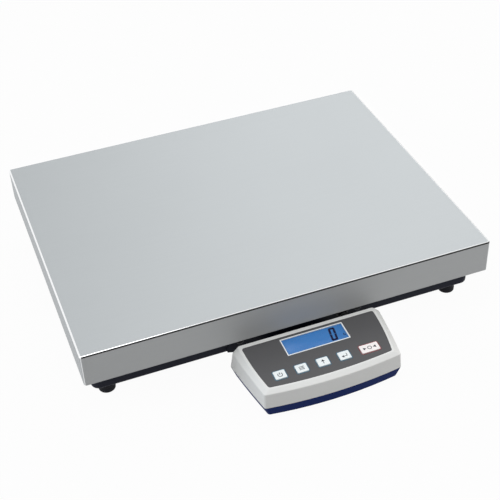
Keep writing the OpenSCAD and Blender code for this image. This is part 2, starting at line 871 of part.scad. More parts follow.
// height of the face's underside at y on the display
function under_face(y) = face_rear_z + y * tan(face_tilt) - face_t / cos(face_tilt);

module display_upper_shell() {
  color([0.83, 0.84, 0.85]) placed()
    difference() {
      union() {
        difference() {
          upper_outer();
          upper_inner();
        }
        at_display() for (s = [-1, 1])
          for (p = screw_places)
            translate([s * p[0], p[1], part_z])
              cylinder(r = boss_r, h = under_face(p[1]) - part_z + 1);
        at_face() at_board_screws()
          translate([0, 0, board_top]) cylinder(r = board_boss_r, h = -face_t - board_top + 0.5);
      }
      at_face() translate([0, 0, -foil_t]) linear_extrude(height = 5) foil_plan(foil_room);
      at_face() translate([0, 0, -face_t - 3]) linear_extrude(height = 10)
        key_openings(run_gap);
      at_face() translate([window_x, -window_y, 0])
        cube([window_w - 2 * window_ledge, window_d - 2 * window_ledge, 4 * face_t],
          center = true);
      at_display() at_shell_screws()
        translate([0, 0, part_z - 1]) cylinder(r = shell_screw_r, h = 9);
      at_face() at_board_screws()
        translate([0, 0, board_top - 1]) cylinder(r = board_screw_r, h = 6);
    }
}

module lower_outer() {
  hull() {
    at_display() translate([0, 0, part_z - eps]) linear_extrude(height = eps)
      shell_plan(0, 0, 0);
    at_display() translate([0, 0, disp_z]) linear_extrude(height = eps)
      shell_plan(lower_in_s, lower_in_f, lower_in_r);
  }
}

module lower_inner() {
  hull() {
    at_display() translate([0, 0, part_z]) linear_extrude(height = 1)
      shell_plan(shell_t, shell_t, shell_t);
    at_display() translate([0, 0, disp_z + shell_t]) linear_extrude(height = eps)
      shell_plan(lower_in_s + shell_t, lower_in_f + shell_t, lower_in_r + shell_t);
  }
}

// L-shaped guides under the shell that hold the tongue
module tongue_guides() {
  guide_t = 2;
  inner = tongue_w / 2 + run_gap;
  foot_top = tongue_z - run_gap;
  for (s = [-1, 1])
    mirror([s < 0 ? 1 : 0, 0, 0]) {
      translate([inner, -disp_d + 10, foot_top - guide_t])
        cube([guide_t, disp_d - 20, disp_z - foot_top + guide_t + 1]);
      translate([inner - 5, -disp_d + 10, foot_top - guide_t])
        cube([5 + eps, disp_d - 20, guide_t]);
    }
}

module display_lower_shell() {
  half = cover_w / 2;
  slot_x = battery_x - cover_l / 2 - run_gap;
  slot_l = disp_rear_w / 2 - slot_x;
  color([0.1, 0.16, 0.38]) placed()
    difference() {
      union() {
        difference() {
          lower_outer();
          lower_inner();
        }
        at_display() at_shell_screws()
          translate([0, 0, disp_z]) cylinder(r = boss_r, h = lower_h);
        at_display() tongue_guides();
        at_display() for (x = [socket_x, grommet_x])
          translate([x - inlet_boss_w / 2, -inlet_boss_t, disp_z + 0.5])
            cube([inlet_boss_w, inlet_boss_t, lower_h - 0.5]);
        at_display() for (s = [-1, 1])
          translate([slot_x, -battery_y + s * (half + cover_flange) - 3.5, disp_z + 1])
            cube([cover_l, 7, battery_z - disp_z - 1]);
        at_display() translate([battery_x - battery_w / 2 - 2.3, -battery_y - half, disp_z + 1])
          cube([1.8, cover_w, lower_h - 1]);
      }
      at_display() translate([slot_x, -battery_y - half - run_gap, disp_z - 1])
        cube([slot_l, cover_w + 2 * run_gap, strip_z - disp_z + 1]);
      at_display() translate([slot_x, -battery_y - half - cover_flange - run_gap, disp_z + cover_lip])
        cube([slot_l, cover_w + 2 * cover_flange + 2 * run_gap, strip_z - disp_z - cover_lip]);
      at_display() at_shell_screws() {
        translate([0, 0, disp_z - 1]) cylinder(r = shell_screw_r + screw_room, h = lower_h + 2);
        translate([0, 0, disp_z - 1]) cylinder(r = shell_head_r + screw_room, h = shell_head_h + 2);
      }
      at_display() for (x = [socket_x, grommet_x])
        translate([x - inlet_boss_w / 2, -inlet_boss_t - inlet_pocket, disp_z + shell_t])
          cube([inlet_boss_w, inlet_pocket, lower_h]);
      at_display() translate([socket_x, 1, inlet_z]) rotate([90, 0, 0])
        cylinder(r = socket_collar_r + stud_fit, h = inlet_boss_t + 2);
      at_display() translate([grommet_x, 1, inlet_z]) rotate([90, 0, 0])
        cylinder(r = grommet_r + stud_fit, h = inlet_boss_t + 2);
    }
}

module shell_screws() {
  color([0.2, 0.2, 0.21]) placed() at_display() at_shell_screws() {
    translate([0, 0, disp_z + 1]) cylinder(r = shell_head_r, h = shell_head_h);
    translate([0, 0, disp_z + 1]) cylinder(r = shell_screw_r, h = lower_h + 6);
  }
}

module display_feet() {
  color([0.07, 0.07, 0.08]) placed() at_display()
    for (s = [-1, 1])
      for (p = disp_foot_places)
        translate([s * p[0], p[1], disp_z - disp_foot_h])
          cylinder(r = disp_foot_r, h = disp_foot_h);
}

// Display face

module front_foil() {
  color([0.33, 0.33, 0.34]) placed() at_face()
    translate([0, 0, -foil_t]) linear_extrude(height = foil_t) difference() {
      foil_plan(0);
      key_openings(run_gap);
      translate([window_x, -window_y])
        square([window_w + 2 * foil_room, window_d + 2 * foil_room], center = true);
    }
}

module lcd_window() {
  color([0.8, 0.88, 0.95, 0.4]) placed() at_face()
    translate([window_x - window_w / 2, -window_y - window_d / 2, -foil_t])
      cube([window_w, window_d, foil_t]);
}

module panel_block(z, t) {
  translate([window_x - window_w / 2 - panel_over, -window_y - window_d / 2 - panel_over, z])
    cube([window_w + 2 * panel_over, window_d + 2 * panel_over, t]);
}

module lcd_panel() {
  color([0.24, 0.5, 0.8]) placed() at_face() panel_block(-face_t - panel_t, panel_t);
}

module lcd_backlight() {
  color([0.9, 0.92, 0.95]) placed() at_face() panel_block(board_top, backlight_t);
}

module main_board() {
  color([0.1, 0.35, 0.2]) placed() at_face()
    difference() {
      translate([-board_w / 2, -board_front, board_top - board_t])
        cube([board_w, board_d, board_t]);
      at_board_screws()
        translate([0, 0, board_top - board_t - 1])
          cylinder(r = board_screw_r + screw_room, h = board_t + 2);
    }
}

module board_screws() {
  color([0.7, 0.7, 0.68]) placed() at_face() at_board_screws() {
    translate([0, 0, board_top - board_t - 1.5]) cylinder(r = 2 * board_screw_r, h = 1.5);
    translate([0, 0, board_top - board_t - eps]) cylinder(r = board_screw_r, h = board_t + 5);
  }
}

// bottom of a key, below the shell's face
key_bottom = -face_t - rest_gap - 1;

module key_switches() {
  switch_top = key_bottom - key_travel - rest_gap;
  color([0.15, 0.15, 0.16]) placed() at_face() at_keys() {
    translate([-switch_w / 2, -switch_w / 2, board_top])
      cube([switch_w, switch_w, switch_top - board_top - 0.8]);
    translate([0, 0, board_top]) cylinder(r = 1.75, h = switch_top - board_top);
  }
}

module key(x, w) {
  placed() at_face() translate([x, -key_y, key_bottom]) {
    linear_extrude(height = 1) key_plan(w, key_flange + run_gap);
    linear_extrude(height = key_rise - key_bottom) key_plan(w, 0);
  }
}

module key_1() color([0.9, 0.94, 0.95]) key(key_x0, key_w);
module key_2() color([0.9, 0.94, 0.95]) key(key_x0 + key_pitch, key_w);
module key_3() color([0.9, 0.94, 0.95]) key(key_x0 + 2 * key_pitch, key_w);
module key_4() color([0.9, 0.94, 0.95]) key(key_x0 + 3 * key_pitch, key_w);
module key_wide() color([0.93, 0.85, 0.85]) key(wide_x, wide_w);

// Inlets in the display's rear wall

module dc_socket() {
  collar = inlet_boss_t - 0.5;
  color([0.1, 0.1, 0.11]) placed() at_display() translate([socket_x, 0, inlet_z]) {
    difference() {
      union() {
        translate([-4.8, -inlet_boss_t - 9, -socket_h / 2]) cube([9.6, 9, socket_h]);
        translate([0, -inlet_boss_t - eps, 0]) rotate([-90, 0, 0])
          cylinder(r = socket_collar_r, h = collar);
      }
      translate([0, -inlet_boss_t - 5, 0]) rotate([-90, 0, 0])
        cylinder(r = socket_bore_r, h = 15);
    }
    translate([0, -inlet_boss_t - 6, 0]) rotate([-90, 0, 0]) cylinder(r = 1, h = 9);
  }
}

module display_grommet() {
  flat = inlet_z - disp_z - shell_t - foil_room / 2;
  color([0.08, 0.08, 0.09]) placed() at_display() translate([grommet_x, 0, inlet_z])
    rotate([90, 0, 0]) difference() {
      union() {
        translate([0, 0, -1.5]) cylinder(r = grommet_flange_r, h = 1.5);
        cylinder(r = grommet_r, h = inlet_boss_t);
        translate([0, 0, inlet_boss_t]) cylinder(r = grommet_flange_r, h = 1.5);
      }
      translate([0, 0, -3]) cylinder(r = gland_bore_r, h = inlet_boss_t + 6);
      translate([-grommet_flange_r - 1, -flat - grommet_flange_r, inlet_boss_t - eps])
        cube([2 * grommet_flange_r + 2, grommet_flange_r, 3]);
    }
}

// Battery

module battery_cover() {
  color([0.1, 0.16, 0.38]) placed() at_display()
    translate([battery_x - cover_l / 2, -battery_y, 0]) {
      translate([0, -cover_w / 2, cover_z]) cube([cover_l, cover_w, cover_top - cover_z]);
      translate([0, -cover_w / 2 - cover_flange, cover_flange_z])
        cube([cover_l, cover_w + 2 * cover_flange, cover_flange_t]);
    }
}

module battery_block() {
  color([0.25, 0.27, 0.3]) placed() at_display()
    translate([battery_x - battery_w / 2, -battery_y - battery_l / 2, battery_z])
      cube([battery_w, battery_l, battery_h]);
}

module battery_clip() {
  color([0.08, 0.08, 0.09]) placed() at_display()
    translate([battery_x - battery_w / 2 + 1, -battery_y + battery_l / 2, battery_z + 2])
      cube([battery_w - 2, clip_t, battery_h - 4]);
}

weighing_plate();
plate_buffers();
load_carrier();
upper_spacer();
load_cell();
cell_covers();
lower_spacer();
live_end_bolts();
fixed_end_bolts();
base_frame();
overload_stop_screws();
stop_lock_nuts();
foot_pad_fl();
foot_pad_fr();
foot_pad_rl();
foot_pad_rr();
foot_stud_fl();
foot_stud_fr();
foot_stud_rl();
foot_stud_rr();
foot_weld_nuts();
foot_lock_nuts();
level_housing();
level_glass();
gland_body();
gland_nut();
display_bracket();
bracket_screws();
display_upper_shell();
display_lower_shell();
front_foil();
lcd_window();
lcd_panel();
lcd_backlight();
main_board();
key_switches();
key_1();
key_2();
key_3();
key_4();
key_wide();
board_screws();
dc_socket();
display_grommet();
shell_screws();
display_feet();
battery_cover();
battery_block();
battery_clip();
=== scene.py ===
import math

import bmesh
import bpy
from mathutils import Matrix, Vector


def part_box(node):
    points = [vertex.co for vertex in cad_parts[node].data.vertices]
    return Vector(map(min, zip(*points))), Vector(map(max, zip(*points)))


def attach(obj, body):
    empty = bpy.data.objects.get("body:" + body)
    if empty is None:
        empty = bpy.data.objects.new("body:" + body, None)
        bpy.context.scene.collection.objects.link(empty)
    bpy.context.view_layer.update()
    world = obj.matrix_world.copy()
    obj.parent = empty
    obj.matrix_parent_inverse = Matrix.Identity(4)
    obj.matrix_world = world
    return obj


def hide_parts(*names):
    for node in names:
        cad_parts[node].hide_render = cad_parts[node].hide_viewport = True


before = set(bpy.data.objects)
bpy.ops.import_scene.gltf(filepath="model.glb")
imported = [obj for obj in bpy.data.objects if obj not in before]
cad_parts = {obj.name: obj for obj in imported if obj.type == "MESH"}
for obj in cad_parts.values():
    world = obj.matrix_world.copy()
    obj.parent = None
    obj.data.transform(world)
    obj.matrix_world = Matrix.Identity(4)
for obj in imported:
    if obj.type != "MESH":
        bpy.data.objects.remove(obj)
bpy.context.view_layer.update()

mm = 0.001
scene = bpy.context.scene
past = 1  # how far a cutter runs past a face, in millimetres
cornerSigns = ((1, 1), (-1, 1), (-1, -1), (1, -1))


class Wire:  # one output socket, and sums on wires add Math nodes
    def __init__(self, nodes, socket):
        self.nodes = nodes
        self.socket = socket

    def sum(self, operation, first, second):
        return self.nodes.add("ShaderNodeMath", {"operation": operation}, {0: first, 1: second})

    def __add__(self, other):
        return self.sum("ADD", self, other)

    __radd__ = __add__

    def __sub__(self, other):
        return self.sum("SUBTRACT", self, other)

    def __rsub__(self, other):
        return self.sum("SUBTRACT", other, self)

    def __mul__(self, other):
        return self.sum("MULTIPLY", self, other)

    __rmul__ = __mul__


class Nodes:  # one node tree
    def __init__(self, tree):
        self.tree = tree

    def add(self, kind, settings=None, sockets=None, out=0):  # settings first, then values and links
        made = self.tree.nodes.new(kind)
        for key, value in (settings or {}).items():
            setattr(made, key, value)
        for key, value in (sockets or {}).items():
            self.plug(made.inputs[key], value)
        return Wire(self, made.outputs[out])

    def plug(self, socket, value):
        if isinstance(value, Wire):
            self.tree.links.new(value.socket, socket)
        else:
            socket.default_value = value


class Finish(Nodes):  # a material with its shader
    def __init__(self, name):
        self.material = bpy.data.materials.new(name)
        self.material.use_nodes = True
        super().__init__(self.material.node_tree)
        self.shader = self.tree.nodes["Principled BSDF"]

    def set(self, sockets):
        for key, value in sockets.items():
            self.plug(self.shader.inputs[key], value)

    def noise(self, scale, detail=2.0, rough=0.5, stretch=(1, 1, 1)):
        coords = self.add("ShaderNodeTexCoord", out="Object")
        place = self.add("ShaderNodeMapping", {}, {"Vector": coords, "Scale": stretch})
        return self.add("ShaderNodeTexNoise", {}, {
            "Vector": place, "Scale": scale, "Detail": detail, "Roughness": rough})

    def blend(self, share, first, second):  # 6, 7 and 2 are the Mix node's colour sockets
        return self.add("ShaderNodeMix", {"data_type": "RGBA"}, {0: share, 6: first, 7: second}, out=2)

    def ramp(self, value, start, end):  # 0 at start, 1 at end, held beyond
        return self.add("ShaderNodeMapRange", {}, {"Value": value, "From Min": start, "From Max": end})

    def bump(self, height, strength, depth):
        return self.add("ShaderNodeBump", {}, {"Height": height, "Strength": strength, "Distance": depth})


def tone(r, g, b):  # screen colour 0-255 to linear
    def line(v):
        v /= 255
        return v / 12.92 if v <= 0.04045 else ((v + 0.055) / 1.055) ** 2.4
    return (line(r), line(g), line(b), 1.0)


def shift(colour, share):
    return tuple(min(1.0, v * share) for v in colour[:3]) + (colour[3],)


def grainFinish(name, colour, grain, rough, cloud=14, cloudShare=0.6, spread=0.06, roughSpread=0.12,
                bump=0.15, depth=0.00006, shine=0.5):  # moulded, painted and cast surfaces
    made = Finish(name)
    grains = made.noise(grain, detail=3.0, rough=0.55)
    share = made.noise(cloud) * cloudShare + grains * (1 - cloudShare)
    made.set({"Base Color": made.blend(share, shift(colour, 1 - spread), shift(colour, 1 + spread)),
              "Roughness": rough + (grains - 0.5) * roughSpread, "Specular IOR Level": shine,
              "Normal": made.bump(grains, bump, depth)})
    return made.material


def bentSheet(made, fold, share, colour, rough, flatRough, flatMetal):  # walls, folds and corners of a sheet, with painted highlights on the folds and vertical corners, a painted dark reflection line low on the top fold and painted shading on the walls
    facing = made.add("ShaderNodeTexCoord", out="Normal")
    across, rise = (made.add("ShaderNodeSeparateXYZ", {}, {0: facing}, out=axis) for axis in "XZ")
    upper = made.ramp(rise, *fold["foot"])  # 0 on the walls, 1 above them
    # bent: the whole fold, where its colour is a painted near-white highlight
    bent = upper * made.ramp(rise, *fold["top"])
    # shade: a painted dark reflection line low on the fold, left off the folds that face left
    shade = bent * made.ramp(rise, *fold["shade"]) * made.ramp(across, *fold["side"])
    aside = across * across
    # corner: a painted highlight on the vertical corners, in the fold's colour
    corner = (1 - upper) * made.ramp(aside, *fold["cornerIn"]) * made.ramp(aside, *fold["cornerOut"])
    corner = corner * fold["cornerHighlightShare"]
    # the walls take a lighter tone of their own than the top, a painted shading by facing, beside their own
    # roughness and metal
    wall = made.blend(corner, made.blend(share, fold["wallDark"], fold["wallLight"]), fold["colour"])
    colour = made.blend(upper, wall, colour)
    colour = made.blend(bent, colour, made.blend(shade, fold["colour"], fold["dark"]))
    rough = (rough + (1 - upper) * (fold["wallRough"] - flatRough) + bent * (fold["rough"] - flatRough)
             + shade * fold["shadeRough"] + corner * (fold["rough"] - fold["wallRough"]))
    metal = (fold["wallMetal"] + upper * (flatMetal - fold["wallMetal"]) + bent * (1 - flatMetal)
             + corner * (1 - fold["wallMetal"])) * (1 - shade)
    return colour, rough, metal


def brushedFinish(name, lines, dark, light, rough, fine=3.1, cloud=5, shares=(0.5, 0.25, 0.25), metal=1.0,
                  roughSpread=0.14, bump=0.08, depth=0.00004, fold=None):  # metal with a brushing direction
    made = Finish(name)
    coarse = made.noise(1.0, 4.0, 0.65, lines)
    faint = made.noise(1.0, 2.0, 0.6, [v * fine for v in lines])
    share = coarse * shares[0] + faint * shares[1] + made.noise(cloud) * shares[2]
    look = (made.blend(share, dark, light), rough + (coarse - 0.5) * roughSpread, metal)
    if fold:
        look = bentSheet(made, fold, share, look[0], look[1], rough, metal)
    made.set(dict(zip(("Base Color", "Roughness", "Metallic"), look)))
    made.set({"Normal": made.bump(coarse + faint, bump, depth)})
    return made.material


def litPanelFinish(name, deep, bright, strength, cells, glow, glowShare, rough, roughSpread):
    made = Finish(name)  # a lit liquid-crystal panel with a faint cell grid
    grid = made.noise(cells, 1.0, 0.5)
    colour = made.blend(made.noise(glow, 1.0, 0.4) * glowShare + grid * (1 - glowShare), deep, bright)
    made.set({"Base Color": colour, "Emission Color": colour, "Emission Strength": strength,
              "Roughness": rough + (grid - 0.5) * roughSpread})
    return made.material


def clearFinish(name, colour, alpha, smear=60, dim=0.95, rough=0.04, roughSpread=0.05, coat=0.0, shine=0.5):
    made = Finish(name)
    smears = made.noise(smear, 3.0, 0.6)
    made.set({"Base Color": made.blend(smears, shift(colour, dim), colour), "Alpha": alpha,
              "Roughness": rough + smears * roughSpread, "Coat Weight": coat, "Specular IOR Level": shine})
    return made.material


paint = dict(bump=0.22, depth=0.00012)
rubber = dict(rough=0.66, bump=0.2, depth=0.0001)
keyCap = dict(grain=1800, rough=0.34, spread=0.02, bump=0.06)
ink = dict(grain=2200, rough=0.46, bump=0.05)
looks = {
    "stainless": (brushedFinish, dict(
        lines=(5, 900, 900), dark=tone(157, 161, 163), light=tone(173, 177, 179), rough=0.52, cloud=4,
        metal=0.72, roughSpread=0.12, bump=0.06, fold=dict(
            # shade and side place the painted dark reflection line; dark is its colour
            foot=(0.03, 0.1), top=(0.997, 0.97), shade=(0.88, 0.82), side=(-0.6, -0.3), rough=0.12,
            # colour is a painted near-white highlight on the folds and the vertical corners
            colour=tone(250, 251, 252), dark=tone(8, 8, 9), shadeRough=0.5, wallMetal=0.6, wallRough=0.68,
            # wallDark and wallLight give the walls their own tone, a painted shading by facing
            wallDark=tone(166, 168, 169), wallLight=tone(183, 185, 186),
            cornerIn=(0.25, 0.4), cornerOut=(0.75, 0.6), cornerHighlightShare=0.6))),
    "black_paint": (grainFinish, dict(paint, colour=tone(22, 25, 39), grain=900, rough=0.55, shine=0.14)),
    "carrier_paint": (grainFinish, dict(paint, colour=tone(70, 73, 78), grain=700, rough=0.48)),
    "cell_metal": (brushedFinish, dict(
        lines=(900, 30, 30), dark=tone(170, 173, 178), light=tone(203, 206, 210), rough=0.32)),
    "spacer_metal": (brushedFinish, dict(
        lines=(30, 700, 30), dark=tone(150, 152, 156), light=tone(188, 190, 194), rough=0.38)),
    "gauge_cover": (grainFinish, dict(colour=tone(214, 212, 202), grain=500, rough=0.42, bump=0.12)),
    "zinc_steel": (brushedFinish, dict(
        lines=(260, 260, 260), dark=tone(150, 150, 144), light=tone(198, 198, 190), rough=0.36)),
    "black_screw": (brushedFinish, dict(
        lines=(300, 300, 300), dark=tone(34, 34, 36), light=tone(58, 58, 60), rough=0.4)),
    "foot_rubber": (grainFinish, dict(rubber, colour=tone(18, 19, 26), grain=600, shine=0.2)),
    "black_rubber": (grainFinish, dict(rubber, colour=tone(30, 30, 33), grain=700)),
    "black_plastic": (grainFinish, dict(colour=tone(31, 31, 34), grain=1100, rough=0.44, bump=0.14)),
    "grey_shell": (grainFinish, dict(
        colour=tone(234, 235, 234), grain=1500, cloud=20, spread=0.025, rough=0.46, bump=0.12)),
    "navy_shell": (grainFinish, dict(
        colour=tone(12, 37, 98), grain=1500, rough=0.55, bump=0.12, shine=0.06)),
    "dark_foil": (grainFinish, dict(
        colour=tone(84, 84, 86), grain=2600, rough=0.58, spread=0.05, bump=0.1, depth=0.00003, shine=0.35)),
    "window_clear": (clearFinish, dict(colour=(0.9, 0.95, 1.0, 1), alpha=0.012, shine=0.06)),
    "lcd_blue": (litPanelFinish, dict(
        deep=tone(36, 104, 172), bright=tone(49, 118, 184), strength=0.25, cells=2600, glow=22,
        glowShare=0.7, rough=0.35, roughSpread=0.1)),
    "diffuser": (grainFinish, dict(colour=tone(232, 236, 240), grain=300, rough=0.4)),
    "board_green": (grainFinish, dict(
        colour=tone(28, 92, 58), grain=420, cloud=90, rough=0.35, spread=0.25)),
    "key_white": (grainFinish, dict(keyCap, colour=tone(243, 250, 252))),
    "key_rose": (grainFinish, dict(keyCap, colour=tone(252, 246, 246))),
    "level_fluid": (clearFinish, dict(colour=tone(176, 214, 90), alpha=0.75, coat=0.6)),
    "battery_wrap": (grainFinish, dict(
        colour=tone(44, 48, 58), grain=240, cloud=60, rough=0.36, spread=0.15)),
    "print_white": (grainFinish, dict(ink, colour=tone(248, 252, 255), spread=0.02)),
    "print_teal": (grainFinish, dict(ink, colour=tone(44, 112, 142))),
    "print_red": (grainFinish, dict(ink, colour=tone(150, 30, 42))),
    "print_ink": (grainFinish, dict(ink, colour=tone(24, 28, 44), rough=0.5, spread=0.08)),
    "segment_dark": (grainFinish, dict(
        ink, colour=tone(0, 4, 56), grain=2600, rough=0.6, spread=0.12, shine=0.05)),
}
finishes = {name: make(name, **look) for name, (make, look) in looks.items()}
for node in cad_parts.values():
    for slot in node.material_slots:
        slot.material = finishes[slot.material.name.split(".")[0]]
print("finishes set:", len(finishes))


# outlines
def sweep(radius, start, end, steps):  # points from angle to angle round zero
    angles = [start + (end - start) * i / steps for i in range(steps + 1)]
    return [(radius * math.cos(a), radius * math.sin(a)) for a in angles]


def circle(radius, steps):
    return sweep(radius, 0, math.tau, steps)[:-1]


def arc(centre, radius, start, end, steps):
    return [Vector((centre[0] + x, centre[1] + y)) for x, y in sweep(radius, start, end, steps)]


def bend(radius, steps, start=0, end=90):  # (sine, cosine) along a fold, in degrees
    return [(y, x) for x, y in sweep(radius, math.radians(start), math.radians(end), steps)]


def rectOutline(size, radius, steps):
    points = []
    for k, (sx, sy) in enumerate(cornerSigns):
        centre = (sx * (size[0] / 2 - radius), sy * (size[1] / 2 - radius))
        points += arc(centre, radius, math.pi / 2 * k, math.pi / 2 * (k + 1), steps)
    return points


def boxPoints(spot, size):
    return [(spot[0] + sx * size[0] / 2, spot[1] + sy * size[1] / 2) for sx, sy in cornerSigns]


def grown(size, more):
    return (size[0] + more, size[1] + more)


def ringOn(place, points, z):
    return [place(x, y, z) for x, y in points]


def stacked(place, spot, size, rows, radius, steps, loss=0.0, least=0.0):  # rows of (inset, height)
    rings = []
    for inset, z in rows:
        outline = rectOutline(grown(size, -2 * inset), max(radius - inset * loss, least), steps)
        rings.append([place(spot[0] + p.x, spot[1] + p.y, z) for p in outline])
    return rings


# meshes
def newObject(name, data):
    made = bpy.data.objects.new(name, data)
    scene.collection.objects.link(made)
    return made


def fromBmesh(name, work):
    mesh = bpy.data.meshes.new(name)
    bmesh.ops.recalc_face_normals(work, faces=work.faces)
    work.to_mesh(mesh)
    work.free()
    return newObject(name, mesh)


def addLoft(work, rings, ringed=False):  # rings are equal closed rows of points, capped or ringed
    rows = [[work.verts.new(p) for p in ring] for ring in rings]
    for low, high in zip(rows, rows[1:] + rows[:1] if ringed else rows[1:]):
        for i in range(len(low)):
            work.faces.new((low[i - 1], low[i], high[i], high[i - 1]))
    if not ringed:
        work.faces.new(rows[0][::-1])
        work.faces.new(rows[-1])


def loft(name, rings, ringed=False):
    work = bmesh.new()
    addLoft(work, rings, ringed)
    return fromBmesh(name, work)


def turned(name, profile, centre=(0, 0, 0), steps=48, ringed=False):  # profile of (radius, height)
    rings = [[Vector((x, y, z)) * mm + Vector(centre) for x, y in circle(r, steps)] for r, z in profile]
    return loft(name, rings, ringed)


def addPrism(work, place, points, low, high):
    addLoft(work, [ringOn(place, points, z) for z in (low, high)])


def settle(piece):  # modifiers into a plain mesh
    graph = bpy.context.evaluated_depsgraph_get()
    mesh = bpy.data.meshes.new_from_object(piece.evaluated_get(graph), depsgraph=graph)
    piece.modifiers.clear()
    piece.data = mesh
    return piece


def cutAway(piece, *cutters):
    for cutter in cutters:
        cut = piece.modifiers.new("cut", "BOOLEAN")
        cut.object = cutter
        cut.solver = "EXACT"
    settle(piece)
    for cutter in cutters:
        bpy.data.objects.remove(cutter, do_unlink=True)
    return piece


def finishPiece(piece, body, slotName, look=None, node=None, angle=40, weighted=True):
    piece.data.shade_smooth()
    piece.data.set_sharp_from_angle(angle=math.radians(angle))
    if weighted:
        normals = piece.modifiers.new("normals", "WEIGHTED_NORMAL")
        normals.keep_sharp = True
        settle(piece)
    piece.data.materials.clear()
    piece.data.materials.append(finishes[look or slotName])
    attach(piece, body)
    if node:
        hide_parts(node)


def boxOf(node):  # lowest corner, highest corner and middle
    low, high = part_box(node)
    return low, high, (low + high) / 2


def boxCutter(name, place, spot, size, low, high):
    return loft(name, [ringOn(place, boxPoints(spot, size), z) for z in (low, high)])


def roundedCutter(name, place, spot, size, low, high, radius):
    return loft(name, stacked(place, spot, size, ((0, low), (0, high)), radius, 4))


# weighing plate: one folded sheet with a turned-in hem, in millimetres
plate = {"sheet": 1.5, "fold": 2.2, "foldSteps": 8, "innerSteps": 4, "flat": 2, "wallTop": 1,
         "wallFoot": 0.6, "hem": 6, "hemFold": 0.7, "hemSteps": 5, "hemTurn": 0.8, "corner": 3.4,
         "leastCorner": 0.6}


def makePlate():
    low, high, middle = boxOf("weighing_plate")
    foot, top = low.z / mm, high.z / mm
    size = ((high.x - low.x) / mm, (high.y - low.y) / mm)
    fold, sheet, hem, hemFold = (plate[k] for k in ("fold", "sheet", "hem", "hemFold"))
    inner = fold - sheet
    rows = [(fold + plate["flat"], top)]  # outside from the top down, then inside back up
    rows += [(fold - s, top - fold + c) for s, c in bend(fold, plate["foldSteps"])]
    rows += [(0, top - fold - plate["wallTop"]), (0, foot + hemFold + plate["wallFoot"])]
    rows += [(hemFold - c, foot + hemFold - s) for s, c in bend(hemFold, plate["hemSteps"])]
    rows += [(hem, foot), (hem, foot + sheet), (sheet + plate["hemTurn"], foot + sheet),
             (sheet, foot + sheet + plate["hemTurn"])]
    rows += [(fold - s, top - fold + c) for s, c in bend(inner, plate["innerSteps"], 90, 0)]
    rows.append((fold + plate["flat"], top - sheet))

    def onPlate(x, y, z):
        return Vector((middle.x + x * mm, middle.y + y * mm, z * mm))

    rings = stacked(onPlate, (0, 0), size, rows, plate["corner"], 6, 1.0, plate["leastCorner"])
    finishPiece(loft("plate_sheet", rings), "plate", "stainless", node="weighing_plate", angle=50)


makePlate()
print("weighing plate done")


# display case: its outline narrows and bows to the front, in millimetres
case = {"rearWidth": 199, "frontWidth": 173.4, "depth": 82.5, "bowFront": 6.5, "bowSide": 0.8, "corner": 3.5,
        "sideSteps": 10, "cornerSteps": 6, "probe": 0.02, "upperHeight": 26.9, "lowerHeight": 14, "tilt": 3,
        "wall": 2.5, "groove": 0.45, "lip": 0.6, "bottomRound": 0.8, "floorIn": 1.0,
        "lowerTaper": (5, 2, 3)}  # taper of the lower shell's side, front and rear
crease = {"height": 20, "inRear": 3.3, "inFront": 0.5, "front": 1.7, "wallRound": 1.0, "bevelRound": 0.13,
          "upperFoot": 0.02, "lowerFoot": 0.04}
foil = {"rearWidth": 170.8, "frontWidth": 155.6, "depth": 68.2, "bowFront": 4.9, "bowSide": 1.8, "rear": 5.6,
        "corner": 3, "thick": 0.8, "room": 0.15, "edge": 0.12}
rim = {"side": 3.6, "front": 2, "rear": 0.3, "round": 0.6, "bevelShare": 0.1, "hollowIn": 3}
window = {"spot": (1.6, -23), "size": (80.3, 27.3), "ledge": 1.1, "lit": (78.2, 24.9), "glassGap": 0.2,
          "edge": 0.12, "sink": 0.02, "round": 0.4, "panelEdge": 0.1, "panelRound": 0.3, "steps": 3}
keys = {"small": 14.3, "wide": 23.4, "depth": 12.5, "first": -58.8, "pitch": 27.1, "wideX": 55, "y": -60.5,
        "round": 1.2, "roundLoss": 0.4, "leastRound": 0.5, "rise": 0.8, "edge": 0.45, "room": 0.35,
        "stem": 3.2, "dish": ((1.6, 0), (3.0, 0.06))}  # inset and depth of the hollow for the finger
cutReach = {"shell": 8, "foil": 4}
upperLow, upperHigh, upperMiddle = boxOf("display_upper_shell")
partZ = upperLow.z / mm
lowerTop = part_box("display_lower_shell")[1].z / mm
glassTop = -foil["thick"] - window["glassGap"]
faceTurn = Matrix.Rotation(math.radians(case["tilt"]), 4, "X")
faceFrame = Matrix.Translation((upperMiddle.x, upperHigh.y, (partZ + case["upperHeight"]) * mm)) @ faceTurn
keySpots = [((keys["first"] + i * keys["pitch"], keys["y"]), (keys["small"], keys["depth"]))
            for i in range(4)]
keySpots.append(((keys["wideX"], keys["y"]), (keys["wide"], keys["depth"])))
keyNodes = [("key_%d" % (i + 1), "key_" + "abcd"[i], "key_white", "print_teal") for i in range(4)]
keyNodes.append(("key_wide", "key_e", "key_rose", "print_red"))  # node, body, cap and printed line


def onCase(x, y, z):  # from the case's rear middle, height from the floor
    return Vector((upperMiddle.x + x * mm, upperHigh.y + y * mm, z * mm))


def onFace(x, y, z):  # on the sloping face, height from the foil's top
    return faceFrame @ Vector((x * mm, y * mm, z * mm))


